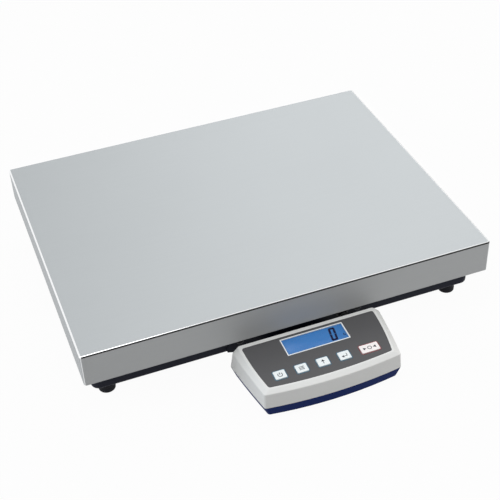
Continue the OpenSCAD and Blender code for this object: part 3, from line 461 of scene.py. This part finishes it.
def caseOutline(form, rearMore, frontMore, depth, rearY):  # form gives widths, bows and corner
    rearHalf = form["rearWidth"] / 2 + rearMore
    frontHalf = form["frontWidth"] / 2 + frontMore
    radius, steps, probe = form["corner"], case["sideSteps"], case["probe"]

    def left(u):
        half = rearHalf + (frontHalf - rearHalf) * u
        return Vector((-half - 4 * form["bowSide"] * u * (1 - u), -depth * u))

    def front(u):
        return Vector((frontHalf * (2 * u - 1), -depth - form["bowFront"] * (1 - (2 * u - 1) ** 2)))

    def right(u):
        p = left(1 - u)
        return Vector((-p.x, p.y))

    def rear(u):
        return Vector((rearHalf * (1 - 2 * u), 0))

    sides = (left, front, right, rear)
    arcs, reaches = [], []
    for k, side in enumerate(sides):  # the corner at the start of each side
        before = sides[k - 1]
        corner = side(0)
        ahead = (side(probe) - corner).normalized()
        behind = (before(1 - probe) - before(1)).normalized()
        half = math.acos(ahead.dot(behind)) / 2
        reach = radius / math.tan(half)
        centre = corner + (ahead + behind).normalized() * (radius / math.sin(half))
        ends = [corner + way * reach - centre for way in (behind, ahead)]
        start, end = (math.atan2(p.y, p.x) for p in ends)
        turn = (end - start + math.pi) % math.tau - math.pi
        arcs.append(arc(centre, radius, start, start + turn, case["cornerSteps"]))
        reaches.append(reach)
    points = []
    for k, side in enumerate(sides):
        length = (side(1) - side(0)).length
        first = reaches[k] / length
        last = 1 - reaches[(k + 1) % 4] / length
        points += arcs[k] + [side(first + (last - first) * i / steps) for i in range(1, steps)]
    return [(p.x, p.y + rearY) for p in points]


def shellOutline(inset, taper=(0, 0, 0)):
    side, front, rear = (inset + more for more in taper)
    return caseOutline(case, -side, -side, case["depth"] - front - rear, -rear)


def foilOutline(more):
    return caseOutline(foil, more, more, foil["depth"] + 2 * more, more - foil["rear"])


def creaseOutline(inset):  # where the walls turn into the bevel
    return caseOutline(case, -crease["inRear"] - inset, -crease["inFront"] - inset,
                       case["depth"] - crease["front"] - 2 * inset, -inset)


def rimOutline(inset):  # flat rim round the foil
    depth = foil["rear"] - rim["rear"] + foil["depth"] + rim["front"]
    return caseOutline(foil, rim["side"] - inset, rim["front"] - inset, depth - 2 * inset,
                       -rim["rear"] - inset)


def mixRings(first, second, share):
    return [a.lerp(b, share) for a, b in zip(first, second)]


def softTurn(below, turn, above, steps):  # rounds the turn at one ring of a loft
    shares = [i / steps for i in range(steps + 1)]
    return [[a * (1 - t) ** 2 + b * (2 * t * (1 - t)) + c * t ** 2 for a, b, c in zip(below, turn, above)]
            for t in shares]


def faceCutters(reach, sightMore):  # openings for window and keys, by reach to both sides of the face
    cutters = [boxCutter("sight", onFace, window["spot"], grown(window["size"], sightMore), -reach, reach)]
    for spot, size in keySpots:
        hole = grown(size, 2 * keys["room"])
        cutters.append(roundedCutter("keyhole", onFace, spot, hole, -reach, reach, keys["round"]))
    return cutters


def makeUpperShell():
    low, high, wall = partZ + case["groove"] / 2, partZ + crease["height"], case["wall"]
    wallFoot = ringOn(onCase, shellOutline(0), low)
    turn = ringOn(onCase, creaseOutline(0), high)
    edge = ringOn(onFace, rimOutline(0), 0)
    wallHigh = mixRings(turn, wallFoot, crease["wallRound"] / crease["height"])
    rings = [ringOn(onCase, shellOutline(case["lip"]), low), wallFoot,
             mixRings(wallFoot, turn, crease["upperFoot"])]
    rings += softTurn(wallHigh, turn, mixRings(turn, edge, crease["bevelRound"]), 5)
    rings += softTurn(mixRings(edge, turn, rim["bevelShare"]), edge,
                      ringOn(onFace, rimOutline(rim["round"]), 0), 4)
    rings += [ringOn(onFace, foilOutline(foil["room"]), z) for z in (0, -foil["thick"])]
    hollow = loft("hollow", [ringOn(onCase, shellOutline(wall), low - past),
                             ringOn(onCase, creaseOutline(wall), high - wall / 2),
                             ringOn(onFace, rimOutline(rim["hollowIn"]), -foil["thick"] - wall)])
    cutters = faceCutters(cutReach["shell"], -2 * window["ledge"])
    piece = cutAway(loft("upper_shell", rings), hollow, *cutters)
    finishPiece(piece, "display", "grey_shell", node="display_upper_shell", angle=32)


def makeFoil():
    rings = [ringOn(onFace, foilOutline(-inset), z)
             for inset, z in ((0, -foil["thick"]), (0, -foil["edge"]), (foil["edge"], 0))]
    piece = cutAway(loft("face_foil", rings), *faceCutters(cutReach["foil"], 2 * foil["room"]))
    finishPiece(piece, "display", "dark_foil", node="front_foil", angle=30)


makeUpperShell()
makeFoil()
print("upper shell and foil done")

battery = {"spot": (63.25, -41), "cover": (34, 51.4), "flange": 1.4, "flangeThick": 1.0, "lip": 1.0,
           "gap": 0.35, "rest": 0.3}
tongue = {"width": 80, "thick": 2, "guide": 2, "hook": 5, "ends": 10}
inlets = {"z": 15, "reach": (2, -9), "steps": 40,
          "bores": (("socketHole", -56, 4.65), ("leadHole", 20, 4.45))}  # name, place and radius
screwSpots = [(sx * x, y) for x, y in ((76, -9), (70, -76)) for sx in (-1, 1)]
caseScrew = {"shank": 1.5, "head": 2.8, "headHeight": 2.0, "room": 0.2, "sink": 3}


def slotCutters(foot):  # the cover's slot, open to the side, and the wider groove for its flanges
    x, y = battery["spot"]
    gap, lip = battery["gap"], battery["lip"]
    start = x - battery["cover"][0] / 2 - gap
    end = case["rearWidth"] / 2
    spot = ((start + end) / 2, y)
    wide = battery["cover"][1] + 2 * gap
    wider = wide + 2 * battery["flange"]
    top = foot + lip + battery["flangeThick"] + 2 * battery["rest"]
    return [boxCutter("slot", onCase, spot, (end - start, wide), foot - past, top),
            boxCutter("slotWide", onCase, spot, (end - start, wider), foot + lip, top)]


def boreCutters(foot):  # screw holes from below, and inlets through the rear wall
    radius = caseScrew["head"] + caseScrew["room"]
    cutters = [turned("screwhole", [(radius, 0), (radius, caseScrew["sink"] + past)],
                      onCase(x, y, foot - past), 32) for x, y in screwSpots]
    for name, x, radius in inlets["bores"]:
        cutters.append(loft(name, [[onCase(x + across, y, inlets["z"] + up)
                                    for across, up in circle(radius, inlets["steps"])]
                                   for y in inlets["reach"]]))
    return cutters


def addGuides(piece, foot):  # rails that hold the bracket's tongue
    gap, guide, hook = battery["gap"], tongue["guide"], tongue["hook"]
    inner = tongue["width"] / 2 + gap
    hookTop = foot - tongue["thick"] - 2 * gap
    low = hookTop - guide
    length, y = case["depth"] - 2 * tongue["ends"], -case["depth"] / 2
    work = bmesh.new()
    work.from_mesh(piece.data)
    for sx in (-1, 1):
        for x, width, top in ((inner + guide / 2, guide, foot + past), (inner - hook / 2, hook, hookTop)):
            addPrism(work, onCase, boxPoints((sx * x, y), (width, length)), low, top)
    bmesh.ops.recalc_face_normals(work, faces=work.faces)
    work.to_mesh(piece.data)
    work.free()


def makeLowerShell():
    foot, high = lowerTop - case["lowerHeight"], lowerTop - case["groove"] / 2
    wall, taper = case["wall"], case["lowerTaper"]
    wallTop = ringOn(onCase, shellOutline(0), high)
    edge = ringOn(onCase, shellOutline(0, taper), foot)
    wallLow = mixRings(edge, wallTop, case["bottomRound"] / case["lowerHeight"])
    rings = [ringOn(onCase, shellOutline(case["lip"]), high), wallTop,
             mixRings(wallTop, edge, crease["lowerFoot"])]
    rings += softTurn(wallLow, edge, ringOn(onCase, shellOutline(case["floorIn"], taper), foot), 6)
    hollow = loft("hollow", [ringOn(onCase, shellOutline(wall), high + past),
                             ringOn(onCase, shellOutline(wall, taper), foot + wall)])
    piece = cutAway(loft("lower_shell", rings), hollow, *slotCutters(foot), *boreCutters(foot))
    addGuides(piece, foot)
    finishPiece(piece, "display", "navy_shell", node="display_lower_shell", angle=32)


makeLowerShell()
print("lower shell done")


# keys with rounded tops, each on its own body
def makeKey(names, spot, size):
    node, body, cap = names[:3]
    edge, rise = keys["edge"], keys["rise"]
    rows = [(0, -keys["stem"]), (0, rise - edge)]
    rows += [(edge - c, rise - edge + s) for s, c in bend(edge, 4)[1:]]
    rows += [(inset, rise - depth) for inset, depth in keys["dish"]]
    rings = stacked(onFace, spot, size, rows, keys["round"], 5, keys["roundLoss"], keys["leastRound"])
    finishPiece(loft(node + "_cap", rings), body, cap, node=node, angle=50)


for names, (spot, size) in zip(keyNodes, keySpots):
    makeKey(names, spot, size)

# printed lines and marks, thin solids on the face
printed = {"frame": 1.3, "keyLine": 0.6, "round": 0.8, "leastRound": 0.15, "height": 0.1, "mark": 0.75,
           "markHeight": 0.14, "markSink": 0.08}


def printFrame(name, spot, inner, line, radius, look):  # a flat line round an opening
    low, high = ((0, 0), (0, printed["height"]))
    rings = stacked(onFace, spot, grown(inner, 2 * line), (low, high), radius, 4)
    rings += stacked(onFace, spot, inner, (high, low), max(radius - line, printed["leastRound"]), 4)
    finishPiece(loft(name, rings, True), "display", "dark_foil", look, weighted=False)


def addStroke(work, place, points):  # a line with mitred turns
    spots = [Vector(p) for p in points]
    ways = [(b - a).normalized() for a, b in zip(spots, spots[1:])]
    left, right = [], []
    for p, back, ahead in zip(spots, ways[:1] + ways, ways + ways[-1:]):
        along = (ahead + back).normalized()
        across = Vector((-along.y, along.x)) * (printed["mark"] / 2)
        left.append(p + across)
        right.append(p - across)
    addPrism(work, place, [(p.x, p.y) for p in left + right[::-1]], 0, printed["markHeight"])


def ringLine(y, radius, start, end):
    return [(s, y + c) for s, c in bend(radius, 18, start, end)]


keyMarks = (  # lines and filled shapes on each key, from its middle
    ([ringLine(-0.4, 2.7, 35, 325), [(0, -0.2), (0, 3.1)]], []),
    ([[(-3.2, y), (3.2, y)] for y in (2.0, 0, -2.0)], []),
    ([[(0, -3.2), (0, 0.6)]], [[(-2.1, 0.4), (2.1, 0.4), (0, 3.3)]]),
    ([[(-1.2, -1.6), (3.0, -1.6), (3.0, 2.4)]], [[(-1.2, -3.5), (-1.2, 0.3), (-4.0, -1.6)]]),
    ([ringLine(0, 2.3, 0, 180), ringLine(0, 2.3, 180, 360)],
     [[(s * 8.0, -2.0), (s * 4.2, 0), (s * 8.0, 2.0)] for s in (-1, 1)]),
)


def makeMark(n, lines, shapes):
    body, cap = keyNodes[n][1:3]
    x, y = keySpots[n][0]

    def onKey(a, b, z):
        return onFace(x + a, y + b, keys["rise"] - printed["markSink"] + z)

    work = bmesh.new()
    for points in lines:
        addStroke(work, onKey, points)
    for points in shapes:
        addPrism(work, onKey, points, 0, printed["markHeight"])
    finishPiece(fromBmesh("key_mark_%d" % (n + 1), work), body, cap, "print_ink", weighted=False)


printFrame("window_frame", window["spot"], window["lit"], printed["frame"], printed["round"], "print_white")
for n, (spot, size) in enumerate(keySpots):
    printFrame("key_line_%d" % (n + 1), spot, grown(size, 2 * keys["room"]), printed["keyLine"],
               keys["round"] + printed["round"], keyNodes[n][3])
for n, (lines, shapes) in enumerate(keyMarks):
    makeMark(n, lines, shapes)

digit = {"x": 24.9, "y": -23.0, "width": 8.3, "height": 20.6, "stroke": 2.7, "lean": 0.14, "gap": 0.06,
         "cut": 1.3, "bite": 0.15, "thick": 0.12,
         "signs": (((12.6, -5.0), (0.9, 3.4)), ((14.2, -5.7), (0.9, 2.0)))}  # spot and size


def makeDigit():  # one lit figure made of bars, and two small signs beside it
    half, tall = digit["width"] / 2, digit["height"] / 2
    pen, gap, cut = digit["stroke"], digit["gap"], digit["cut"]
    topBar = [(-half + cut, tall), (half - cut, tall), (half - cut / 2, tall - cut / 2),
              (half - pen, tall - pen), (-half + pen, tall - pen), (-half + cut / 2, tall - cut / 2)]
    sideBar = [(half - cut / 2, tall - cut / 2 - gap), (half, tall - cut - gap), (half, 2 * gap),
               (half - pen, 2 * gap + pen * digit["bite"]), (half - pen, tall - pen - gap)]
    bars = [[(x, s * y) for x, y in topBar] for s in (1, -1)]
    bars += [[(sx * x, sy * y) for x, y in sideBar] for sx, sy in cornerSigns]
    bars += [boxPoints(spot, size) for spot, size in digit["signs"]]

    def onGlass(a, b, z):
        return onFace(digit["x"] + a + b * digit["lean"], digit["y"] + b, glassTop + z)

    work = bmesh.new()
    for points in bars:
        addPrism(work, onGlass, points, 0, digit["thick"])
    finishPiece(fromBmesh("figure_bars", work), "display", "lcd_blue", "segment_dark", weighted=False)


def makeWindow():  # clear pane in the foil, and the lit panel's glass below it
    edge, sink, steps = window["edge"], window["sink"], window["steps"]
    rows = ((0, sink - foil["thick"]), (0, -edge - sink), (edge, -sink))
    rings = stacked(onFace, window["spot"], window["size"], rows, window["round"], steps)
    finishPiece(loft("window_pane", rings), "display", "window_clear", node="lcd_window", weighted=False)
    edge = window["panelEdge"]
    rows = ((0, -foil["thick"] - case["wall"]), (0, glassTop - edge), (edge, glassTop))
    size = grown(window["size"], -2 * window["ledge"] - edge)
    rings = stacked(onFace, window["spot"], size, rows, window["panelRound"], steps)
    finishPiece(loft("panel_glass", rings), "display", "lcd_blue", weighted=False)


makeDigit()
makeWindow()
print("keys, prints and window done")


class Grower(Nodes):  # a Geometry Nodes tree with named inputs
    def __init__(self, name, inputs):
        super().__init__(bpy.data.node_groups.new(name, "GeometryNodeTree"))
        face = self.tree.interface
        face.new_socket("Geometry", in_out="OUTPUT", socket_type="NodeSocketGeometry")
        self.sockets = {}
        for label, kind in inputs.items():
            made = face.new_socket(label, in_out="INPUT", socket_type="NodeSocket" + kind)
            self.sockets[label] = made.identifier
        source = self.tree.nodes.new("NodeGroupInput")
        self.inputs = {label: Wire(self, source.outputs[label]) for label in inputs}

    def move(self, shape, way):
        return self.add("GeometryNodeTransform", {}, {"Geometry": shape, "Translation": way})

    def lift(self, shape, height):
        return self.move(shape, self.add("ShaderNodeCombineXYZ", {}, {"Z": height}))

    def end(self, shape):  # instances into a mesh with its finish
        solid = self.add("GeometryNodeRealizeInstances", {}, {"Geometry": shape})
        dressed = self.add("GeometryNodeSetMaterial", {}, {
            "Geometry": solid, "Material": self.inputs["Finish"]})
        self.plug(self.tree.nodes.new("NodeGroupOutput").inputs[0], dressed)

    def grow(self, name, values, mesh=None):  # runs the tree once and keeps its mesh
        piece = newObject(name, mesh or bpy.data.meshes.new(name))
        grower = piece.modifiers.new("grow", "NODES")
        grower.node_group = self.tree
        for label, value in values.items():
            grower[self.sockets[label]] = value
        return settle(piece)


thread = {"ridge": 0.9, "turnSteps": 28, "ridgeSteps": 4, "rodSteps": 40}  # ridge is a share of the depth


def threadTree():
    made = Grower("thread", {"Root radius": "Float", "Crest radius": "Float", "Length": "Float",
                             "Turns": "Float", "Place": "Vector", "Finish": "Material"})
    root, crest, length = (made.inputs[label] for label in ("Root radius", "Crest radius", "Length"))
    ridge = (crest - root) * thread["ridge"]
    middle = crest - ridge
    spiral = made.add("GeometryNodeCurveSpiral", {}, {
        "Resolution": thread["turnSteps"], "Rotations": made.inputs["Turns"], "Start Radius": middle,
        "End Radius": middle, "Height": length - ridge * 2})
    profile = made.add("GeometryNodeCurvePrimitiveCircle", {}, {
        "Resolution": thread["ridgeSteps"], "Radius": ridge})
    winding = made.add("GeometryNodeCurveToMesh", {}, {
        "Curve": made.lift(spiral, ridge), "Profile Curve": profile, "Fill Caps": True})
    rod = made.add("GeometryNodeMeshCylinder", {"fill_type": "NGON"}, {
        "Vertices": thread["rodSteps"], "Radius": root, "Depth": length})
    both = made.add("GeometryNodeJoinGeometry", {}, {0: made.lift(rod, length * 0.5)})
    made.plug(both.socket.node.inputs[0], winding)
    made.end(made.move(both, made.inputs["Place"]))
    return made


def spreadTree():
    made = Grower("spread", {
        "Points": "Geometry", "Part": "Object", "Turn": "Rotation", "Finish": "Material"})
    part = made.add("GeometryNodeObjectInfo", {"transform_space": "ORIGINAL"},
                    {"Object": made.inputs["Part"]}, out="Geometry")
    spots = made.add("GeometryNodeMeshToPoints", {}, {"Mesh": made.inputs["Points"]})
    made.end(made.add("GeometryNodeInstanceOnPoints", {}, {
        "Points": spots, "Instance": part, "Rotation": made.inputs["Turn"]}))
    return made


threads, spreads = threadTree(), spreadTree()


def growThread(name, form, length, place):
    return threads.grow(name, {
        "Root radius": form["root"] * mm, "Crest radius": form["crest"] * mm, "Length": length,
        "Turns": length / (form["pitch"] * mm), "Place": place, "Finish": finishes["zinc_steel"]})


def setOut(name, part, spots, body, slotName, node=None, turn=(0, 0, 0), angle=35):  # a part on each spot
    mesh = bpy.data.meshes.new(name)
    mesh.from_pydata([tuple(p) for p in spots], [], [])
    piece = spreads.grow(name, {"Part": part, "Turn": turn, "Finish": finishes[slotName]}, mesh)
    bpy.data.objects.remove(part, do_unlink=True)
    finishPiece(piece, body, slotName, node=node, angle=angle, weighted=False)


# feet: soft pads and threaded studs
feet = {"sole": 3.2, "rim": 1.6, "shoulder": 2.4, "squash": 0.9, "crest": 4.0, "root": 3.35, "pitch": 1.25,
        "waist": ((0, 0.42), (0.35, 0.5), (0.5, 0.56)),  # inset and share of the height
        "seat": ((5.2, 0), (4.3, 0.5), (4.15, 3))}  # radius and depth where the stud goes in
footSpots = []


def makeFoot(corner):
    low, high, middle = boxOf("foot_pad_" + corner)
    radius, tall = (high.x - low.x) / 2 / mm, (high.z - low.z) / mm
    edge, shoulder, squash = feet["rim"], feet["shoulder"], feet["squash"]
    neck = radius - feet["waist"][-1][0] - shoulder
    profile = [(radius - feet["sole"], 0), (radius - edge, 0)]
    profile += [(radius - edge + s, edge - c) for s, c in bend(edge, 5)[1:]]
    profile += [(radius - inset, tall * share) for inset, share in feet["waist"]]
    profile += [(neck + c, tall + (s - shoulder) * squash) for s, c in bend(shoulder, 5)]
    profile += [(reach, tall - depth) for reach, depth in feet["seat"]]
    pad = turned("pad_rubber_" + corner, profile, (middle.x, middle.y, low.z))
    finishPiece(pad, "pad_" + corner, "foot_rubber", node="foot_pad_" + corner, angle=60)
    low, high, middle = boxOf("foot_stud_" + corner)
    stud = growThread("stud_thread_" + corner, feet, high.z - low.z, (middle.x, middle.y, low.z))
    finishPiece(stud, "stud_" + corner, "zinc_steel", node="foot_stud_" + corner, angle=35, weighted=False)
    footSpots.append((middle.x, middle.y))


for corner in ("fl", "fr", "rl", "rr"):
    makeFoot(corner)
print("feet done")

# screws and nuts, with shares of the head or of the hexagon's slack
screw = {"dome": 0.45, "tip": 0.7, "taper": 0.5, "armWidth": 0.1, "armTop": 0.55, "armFoot": 0.275,
         "armDepth": 0.35, "steps": 40}
nut = {"mouth": 0.4, "mouthWide": 1.12, "face": 0.97, "bevel": 0.3, "tip": 0.985, "steps": 48}
footNuts = {"across": 7.52, "bore": 4.05}
bracketScrew = {"x": 78, "z": 36, "head": 4.75, "headHeight": 3.0, "shank": 2.5}
caseFoot = {"spots": ((58, -8.5), (56, -72.8)), "radius": 3.8, "edge": 0.18,
            "waist": ((0.96, 0.45), (1, 0.15), (1, 0), (0.5, 0))}  # shares of the radius and the height
stops = {"crest": 3, "root": 2.5, "pitch": 1.0, "across": 5.64, "bore": 3.02}


def panScrew(form, length):  # head up, shank below, cross recess
    head, high, shank = form["head"], form["headHeight"], form["shank"]
    dome = screw["dome"] * high
    profile = [(shank * screw["tip"], -length), (shank, -length + shank * screw["taper"]), (shank, 0),
               (head, 0), (head, high - dome)]
    profile += [(head - dome + c, high - dome + s) for s, c in bend(dome, 5)[1:]]
    levels = ((screw["armFoot"], high * screw["armDepth"]), (screw["armTop"], high + past))
    arms = []
    for turn in (0, 90):
        spin = Matrix.Rotation(math.radians(turn), 4, "Z")
        arms.append(loft("arm", [[spin @ Vector((sx * head * reach, sy * head * screw["armWidth"], z)) * mm
                                  for sx, sy in cornerSigns] for reach, z in levels]))
    return cutAway(turned("screw", profile, steps=screw["steps"]), *arms)


def hexNut(form, height):  # chamfered nut, foot at zero
    across, bore = form["across"], form["bore"]
    flat = across * math.cos(math.pi / 6)
    slack = across - flat
    lower = [(bore, nut["mouth"] * slack, False), (bore * nut["mouthWide"], 0, False),
             (flat * nut["face"], 0, False), (across, nut["bevel"] * slack, True)]
    rings = []
    for radius, z, isHex in lower + [(r, height - z, isHex) for r, z, isHex in lower[::-1]]:
        ring = []
        for i in range(nut["steps"]):
            a = math.tau * i / nut["steps"]
            side = flat / math.cos(a % (math.pi / 3) - math.pi / 6)
            reach = min(radius * nut["tip"], side) if isHex else radius
            ring.append(Vector((reach * math.cos(a), reach * math.sin(a), z)) * mm)
        rings.append(ring)
    return loft("nut", rings, True)


def rubberFoot(height):  # hangs below zero, waist at mid height
    radius = caseFoot["radius"]
    edge = caseFoot["edge"] * radius
    profile = [(radius - 2 * edge, -height), (radius - edge, -height)]
    profile += [(radius - edge + s, -height + edge - c) for s, c in bend(edge, 4)[1:]]
    profile += [(radius * wide, -height * share) for wide, share in caseFoot["waist"]]
    return turned("foot", profile, steps=36)


def makeNuts(name, node, form, spots):
    low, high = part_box(node)
    part = hexNut(form, (high.z - low.z) / mm)
    setOut(name, part, [(x, y, low.z) for x, y in spots], "platform", "zinc_steel", node)


def makeScrews():
    low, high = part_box("shell_screws")
    head = caseScrew["headHeight"]
    setOut("case_screws", panScrew(caseScrew, (high.z - low.z) / mm - head),
           [onCase(x, y, low.z / mm + head) for x, y in screwSpots],
           "display", "black_screw", "shell_screws", (math.pi, 0, 0))
    low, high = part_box("bracket_screws")
    head = bracketScrew["headHeight"]
    spots = [(upperMiddle.x + sx * bracketScrew["x"] * mm, low.y + head * mm, bracketScrew["z"] * mm)
             for sx in (-1, 1)]
    setOut("bracket_pan_screws", panScrew(bracketScrew, (high.y - low.y) / mm - head), spots,
           "platform", "black_screw", "bracket_screws", (math.pi / 2, 0, 0))


def makeCaseFeet():
    low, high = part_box("display_feet")
    setOut("case_feet", rubberFoot((high.z - low.z) / mm),
           [onCase(sx * x, y, high.z / mm) for x, y in caseFoot["spots"] for sx in (-1, 1)],
           "display", "black_rubber", "display_feet", angle=50)


def makeStops():
    low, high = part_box("overload_stop_screws")
    radius = stops["crest"] * mm
    spots = [(x, y) for x in (low.x + radius, high.x - radius) for y in (low.y + radius, high.y - radius)]
    setOut("stop_threads", growThread("stop", stops, high.z - low.z, (0, 0, 0)),
           [(x, y, low.z) for x, y in spots], "platform", "zinc_steel", "overload_stop_screws")
    makeNuts("stop_nuts", "stop_lock_nuts", stops, spots)


makeNuts("lock_nuts", "foot_lock_nuts", footNuts, footSpots)
makeNuts("weld_nuts", "foot_weld_nuts", footNuts, footSpots)
makeScrews()
makeCaseFeet()
makeStops()
print("screws, nuts and case feet done")

cover = {"pocket": (14, 30), "pocketDepth": 0.6, "pocketRound": 2, "edge": 0.35, "round": 0.8,
         "ribs": 5, "ribPitch": 2.6, "rib": (1.3, 27), "ribEdge": 0.3, "ribSink": 0.1}


def makeCover():  # sliding battery cover with a ribbed finger grip
    low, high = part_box("battery_cover")
    foot, top = low.z / mm, high.z / mm
    spot, size, edge = battery["spot"], battery["cover"], cover["edge"]
    flangeFoot = top - battery["flangeThick"]
    rings = stacked(onCase, spot, size, ((edge, foot), (0, foot + edge), (0, flangeFoot)), cover["round"], 4)
    rings += stacked(onCase, spot, (size[0], size[1] + 2 * battery["flange"]), ((0, flangeFoot), (0, top)),
                     cover["round"], 4)
    pocket = roundedCutter("pocket", onCase, spot, cover["pocket"], foot - past, foot + cover["pocketDepth"],
                           cover["pocketRound"])
    piece = cutAway(loft("cover_plate", rings), pocket)
    finishPiece(piece, "cover", "navy_shell", node="battery_cover", angle=32)

    def onRib(x, y, z):
        return Vector((x, y, z)) * mm

    edge = cover["ribEdge"]
    rows = ((edge, 0), (0, edge), (0, cover["pocketDepth"] + cover["ribSink"]))
    rib = loft("rib", stacked(onRib, (0, 0), cover["rib"], rows, edge, 3))
    first = spot[0] - cover["ribPitch"] * (cover["ribs"] - 1) / 2
    spots = [onCase(first + i * cover["ribPitch"], spot[1], foot) for i in range(cover["ribs"])]
    setOut("cover_ribs", rib, spots, "cover", "navy_shell")


makeCover()
print("battery cover done")

level = {"ring": 3.6, "line": 0.5, "mark": 0.08, "bubble": 2.6, "rise": 0.3,
         "dome": ((1, 0), (0.8, 0.6), (0.3, 1))}  # shares of the bubble's radius and rise


def makeLevel():  # target ring and bubble on the spirit level
    high, middle = boxOf("level_glass")[1:]
    inner, outer, thick = level["ring"], level["ring"] + level["line"], level["mark"]
    mark = [(inner, 0), (inner, thick), (outer, thick), (outer, 0)]
    bubble = [(level["bubble"] * wide, level["rise"] * share) for wide, share in level["dome"]]
    for name, profile, look in (("level_mark", mark, "print_ink"), ("level_bubble", bubble, "print_white")):
        piece = turned(name, profile, (middle.x, middle.y, high.z), 40, profile is mark)
        finishPiece(piece, "platform", "level_fluid", look, weighted=False)


makeLevel()

# floor, light and camera, in metres apart from the camera's place
studio = {"floor": 6, "floorMatt": (0.55, 0.55, 0.55, 1), "floorWhite": 0.965, "world": 0.365,
          "white": (1, 1, 1, 1)}
lampBase = {"aim": (0, 0, 0.05), "colour": (1, 1, 1)}
lamps = {
    "key_lamp": {"place": (-0.5, -0.2, 2.2), "size": (1.6, 1.6), "watts": 16.0},
    "fill_lamp": {"place": (1.7, -0.55, 0.9), "size": (1.2, 1.2), "watts": 9.0, "colour": (1, 0.96, 0.91)},
    "back_lamp": {"place": (1.3, 1.9, 1.9), "size": (2.8, 1.6), "watts": 21.5},
    "side_lamp": {"place": (-1.8, 0.3, 0.8), "size": (1.2, 1.0), "watts": 12.5, "colour": (0.87, 0.94, 1),
                  "aim": (-0.2, 0, 0.05)},
}
view = {"place": (-367.66, -1093.35, 945.12), "lens": 78.635, "sensor": 36, "far": 50,
        "yaw": 19.358, "pitch": 38.764, "roll": -2.599}


def showWhite(made, plain, white, share, output):  # rays that reach the eye meet white, others plain
    labels = ("Is Camera Ray", "Is Glossy Ray", "Is Transmission Ray")
    seen, *others = (made.add("ShaderNodeLightPath", out=label) for label in labels)
    for ray in others:
        seen = seen.sum("MAXIMUM", seen, ray)
    both = made.add("ShaderNodeMixShader", {}, {0: seen * share, 1: plain, 2: white})
    made.plug(made.tree.nodes[output].inputs["Surface"], both)


def makeFloor():
    work = bmesh.new()
    bmesh.ops.create_grid(work, x_segments=1, y_segments=1, size=studio["floor"])
    floor = fromBmesh("floor", work)
    made = Finish("floor_white")
    made.tree.nodes.remove(made.shader)
    matt = made.add("ShaderNodeBsdfDiffuse", {}, {"Color": studio["floorMatt"]})
    white = made.add("ShaderNodeEmission", {}, {"Color": studio["white"], "Strength": 1.0})
    showWhite(made, matt, white, studio["floorWhite"], "Material Output")
    floor.data.materials.append(made.material)


def makeWorld():
    scene.world = bpy.data.worlds.new("studio")
    scene.world.use_nodes = True
    made = Nodes(scene.world.node_tree)
    made.tree.nodes.remove(made.tree.nodes["Background"])
    soft, white = (made.add("ShaderNodeBackground", {}, {"Color": studio["white"], "Strength": strength})
                   for strength in (studio["world"], 1.0))
    showWhite(made, soft, white, 1.0, "World Output")


def makeLamp(name, form):  # a soft panel
    lamp = bpy.data.lights.new(name, "AREA")
    lamp.shape = "ELLIPSE"
    lamp.size, lamp.size_y = form["size"]
    lamp.energy = form["watts"]
    lamp.color = form["colour"]
    holder = newObject(name, lamp)
    holder.location = form["place"]
    ahead = Vector(form["aim"]) - holder.location
    holder.rotation_euler = ahead.to_track_quat("-Z", "Y").to_euler()


def makeCamera():
    camera = bpy.data.cameras.new("camera")
    camera.sensor_width = view["sensor"]
    camera.lens = view["lens"]
    camera.clip_end = view["far"]
    yaw, pitch, roll = (math.radians(view[k]) for k in ("yaw", "pitch", "roll"))
    ahead = Vector((math.sin(yaw) * math.cos(pitch), math.cos(yaw) * math.cos(pitch), -math.sin(pitch)))
    right = Vector((math.cos(yaw), -math.sin(yaw), 0))
    up = right.cross(ahead)
    across = right * math.cos(roll) + up * math.sin(roll)
    above = up * math.cos(roll) - right * math.sin(roll)
    middle = boxOf("weighing_plate")[2]
    place = Vector(view["place"]) * mm + Vector((middle.x, middle.y, 0))
    scene.camera = newObject("camera", camera)
    scene.camera.matrix_world = (Matrix.Translation(place)
                                 @ Matrix((across, above, -ahead)).transposed().to_4x4())


makeFloor()
makeWorld()
for name, form in lamps.items():
    makeLamp(name, {**lampBase, **form})
makeCamera()
scene.view_settings.view_transform = "Standard"
print("studio done")
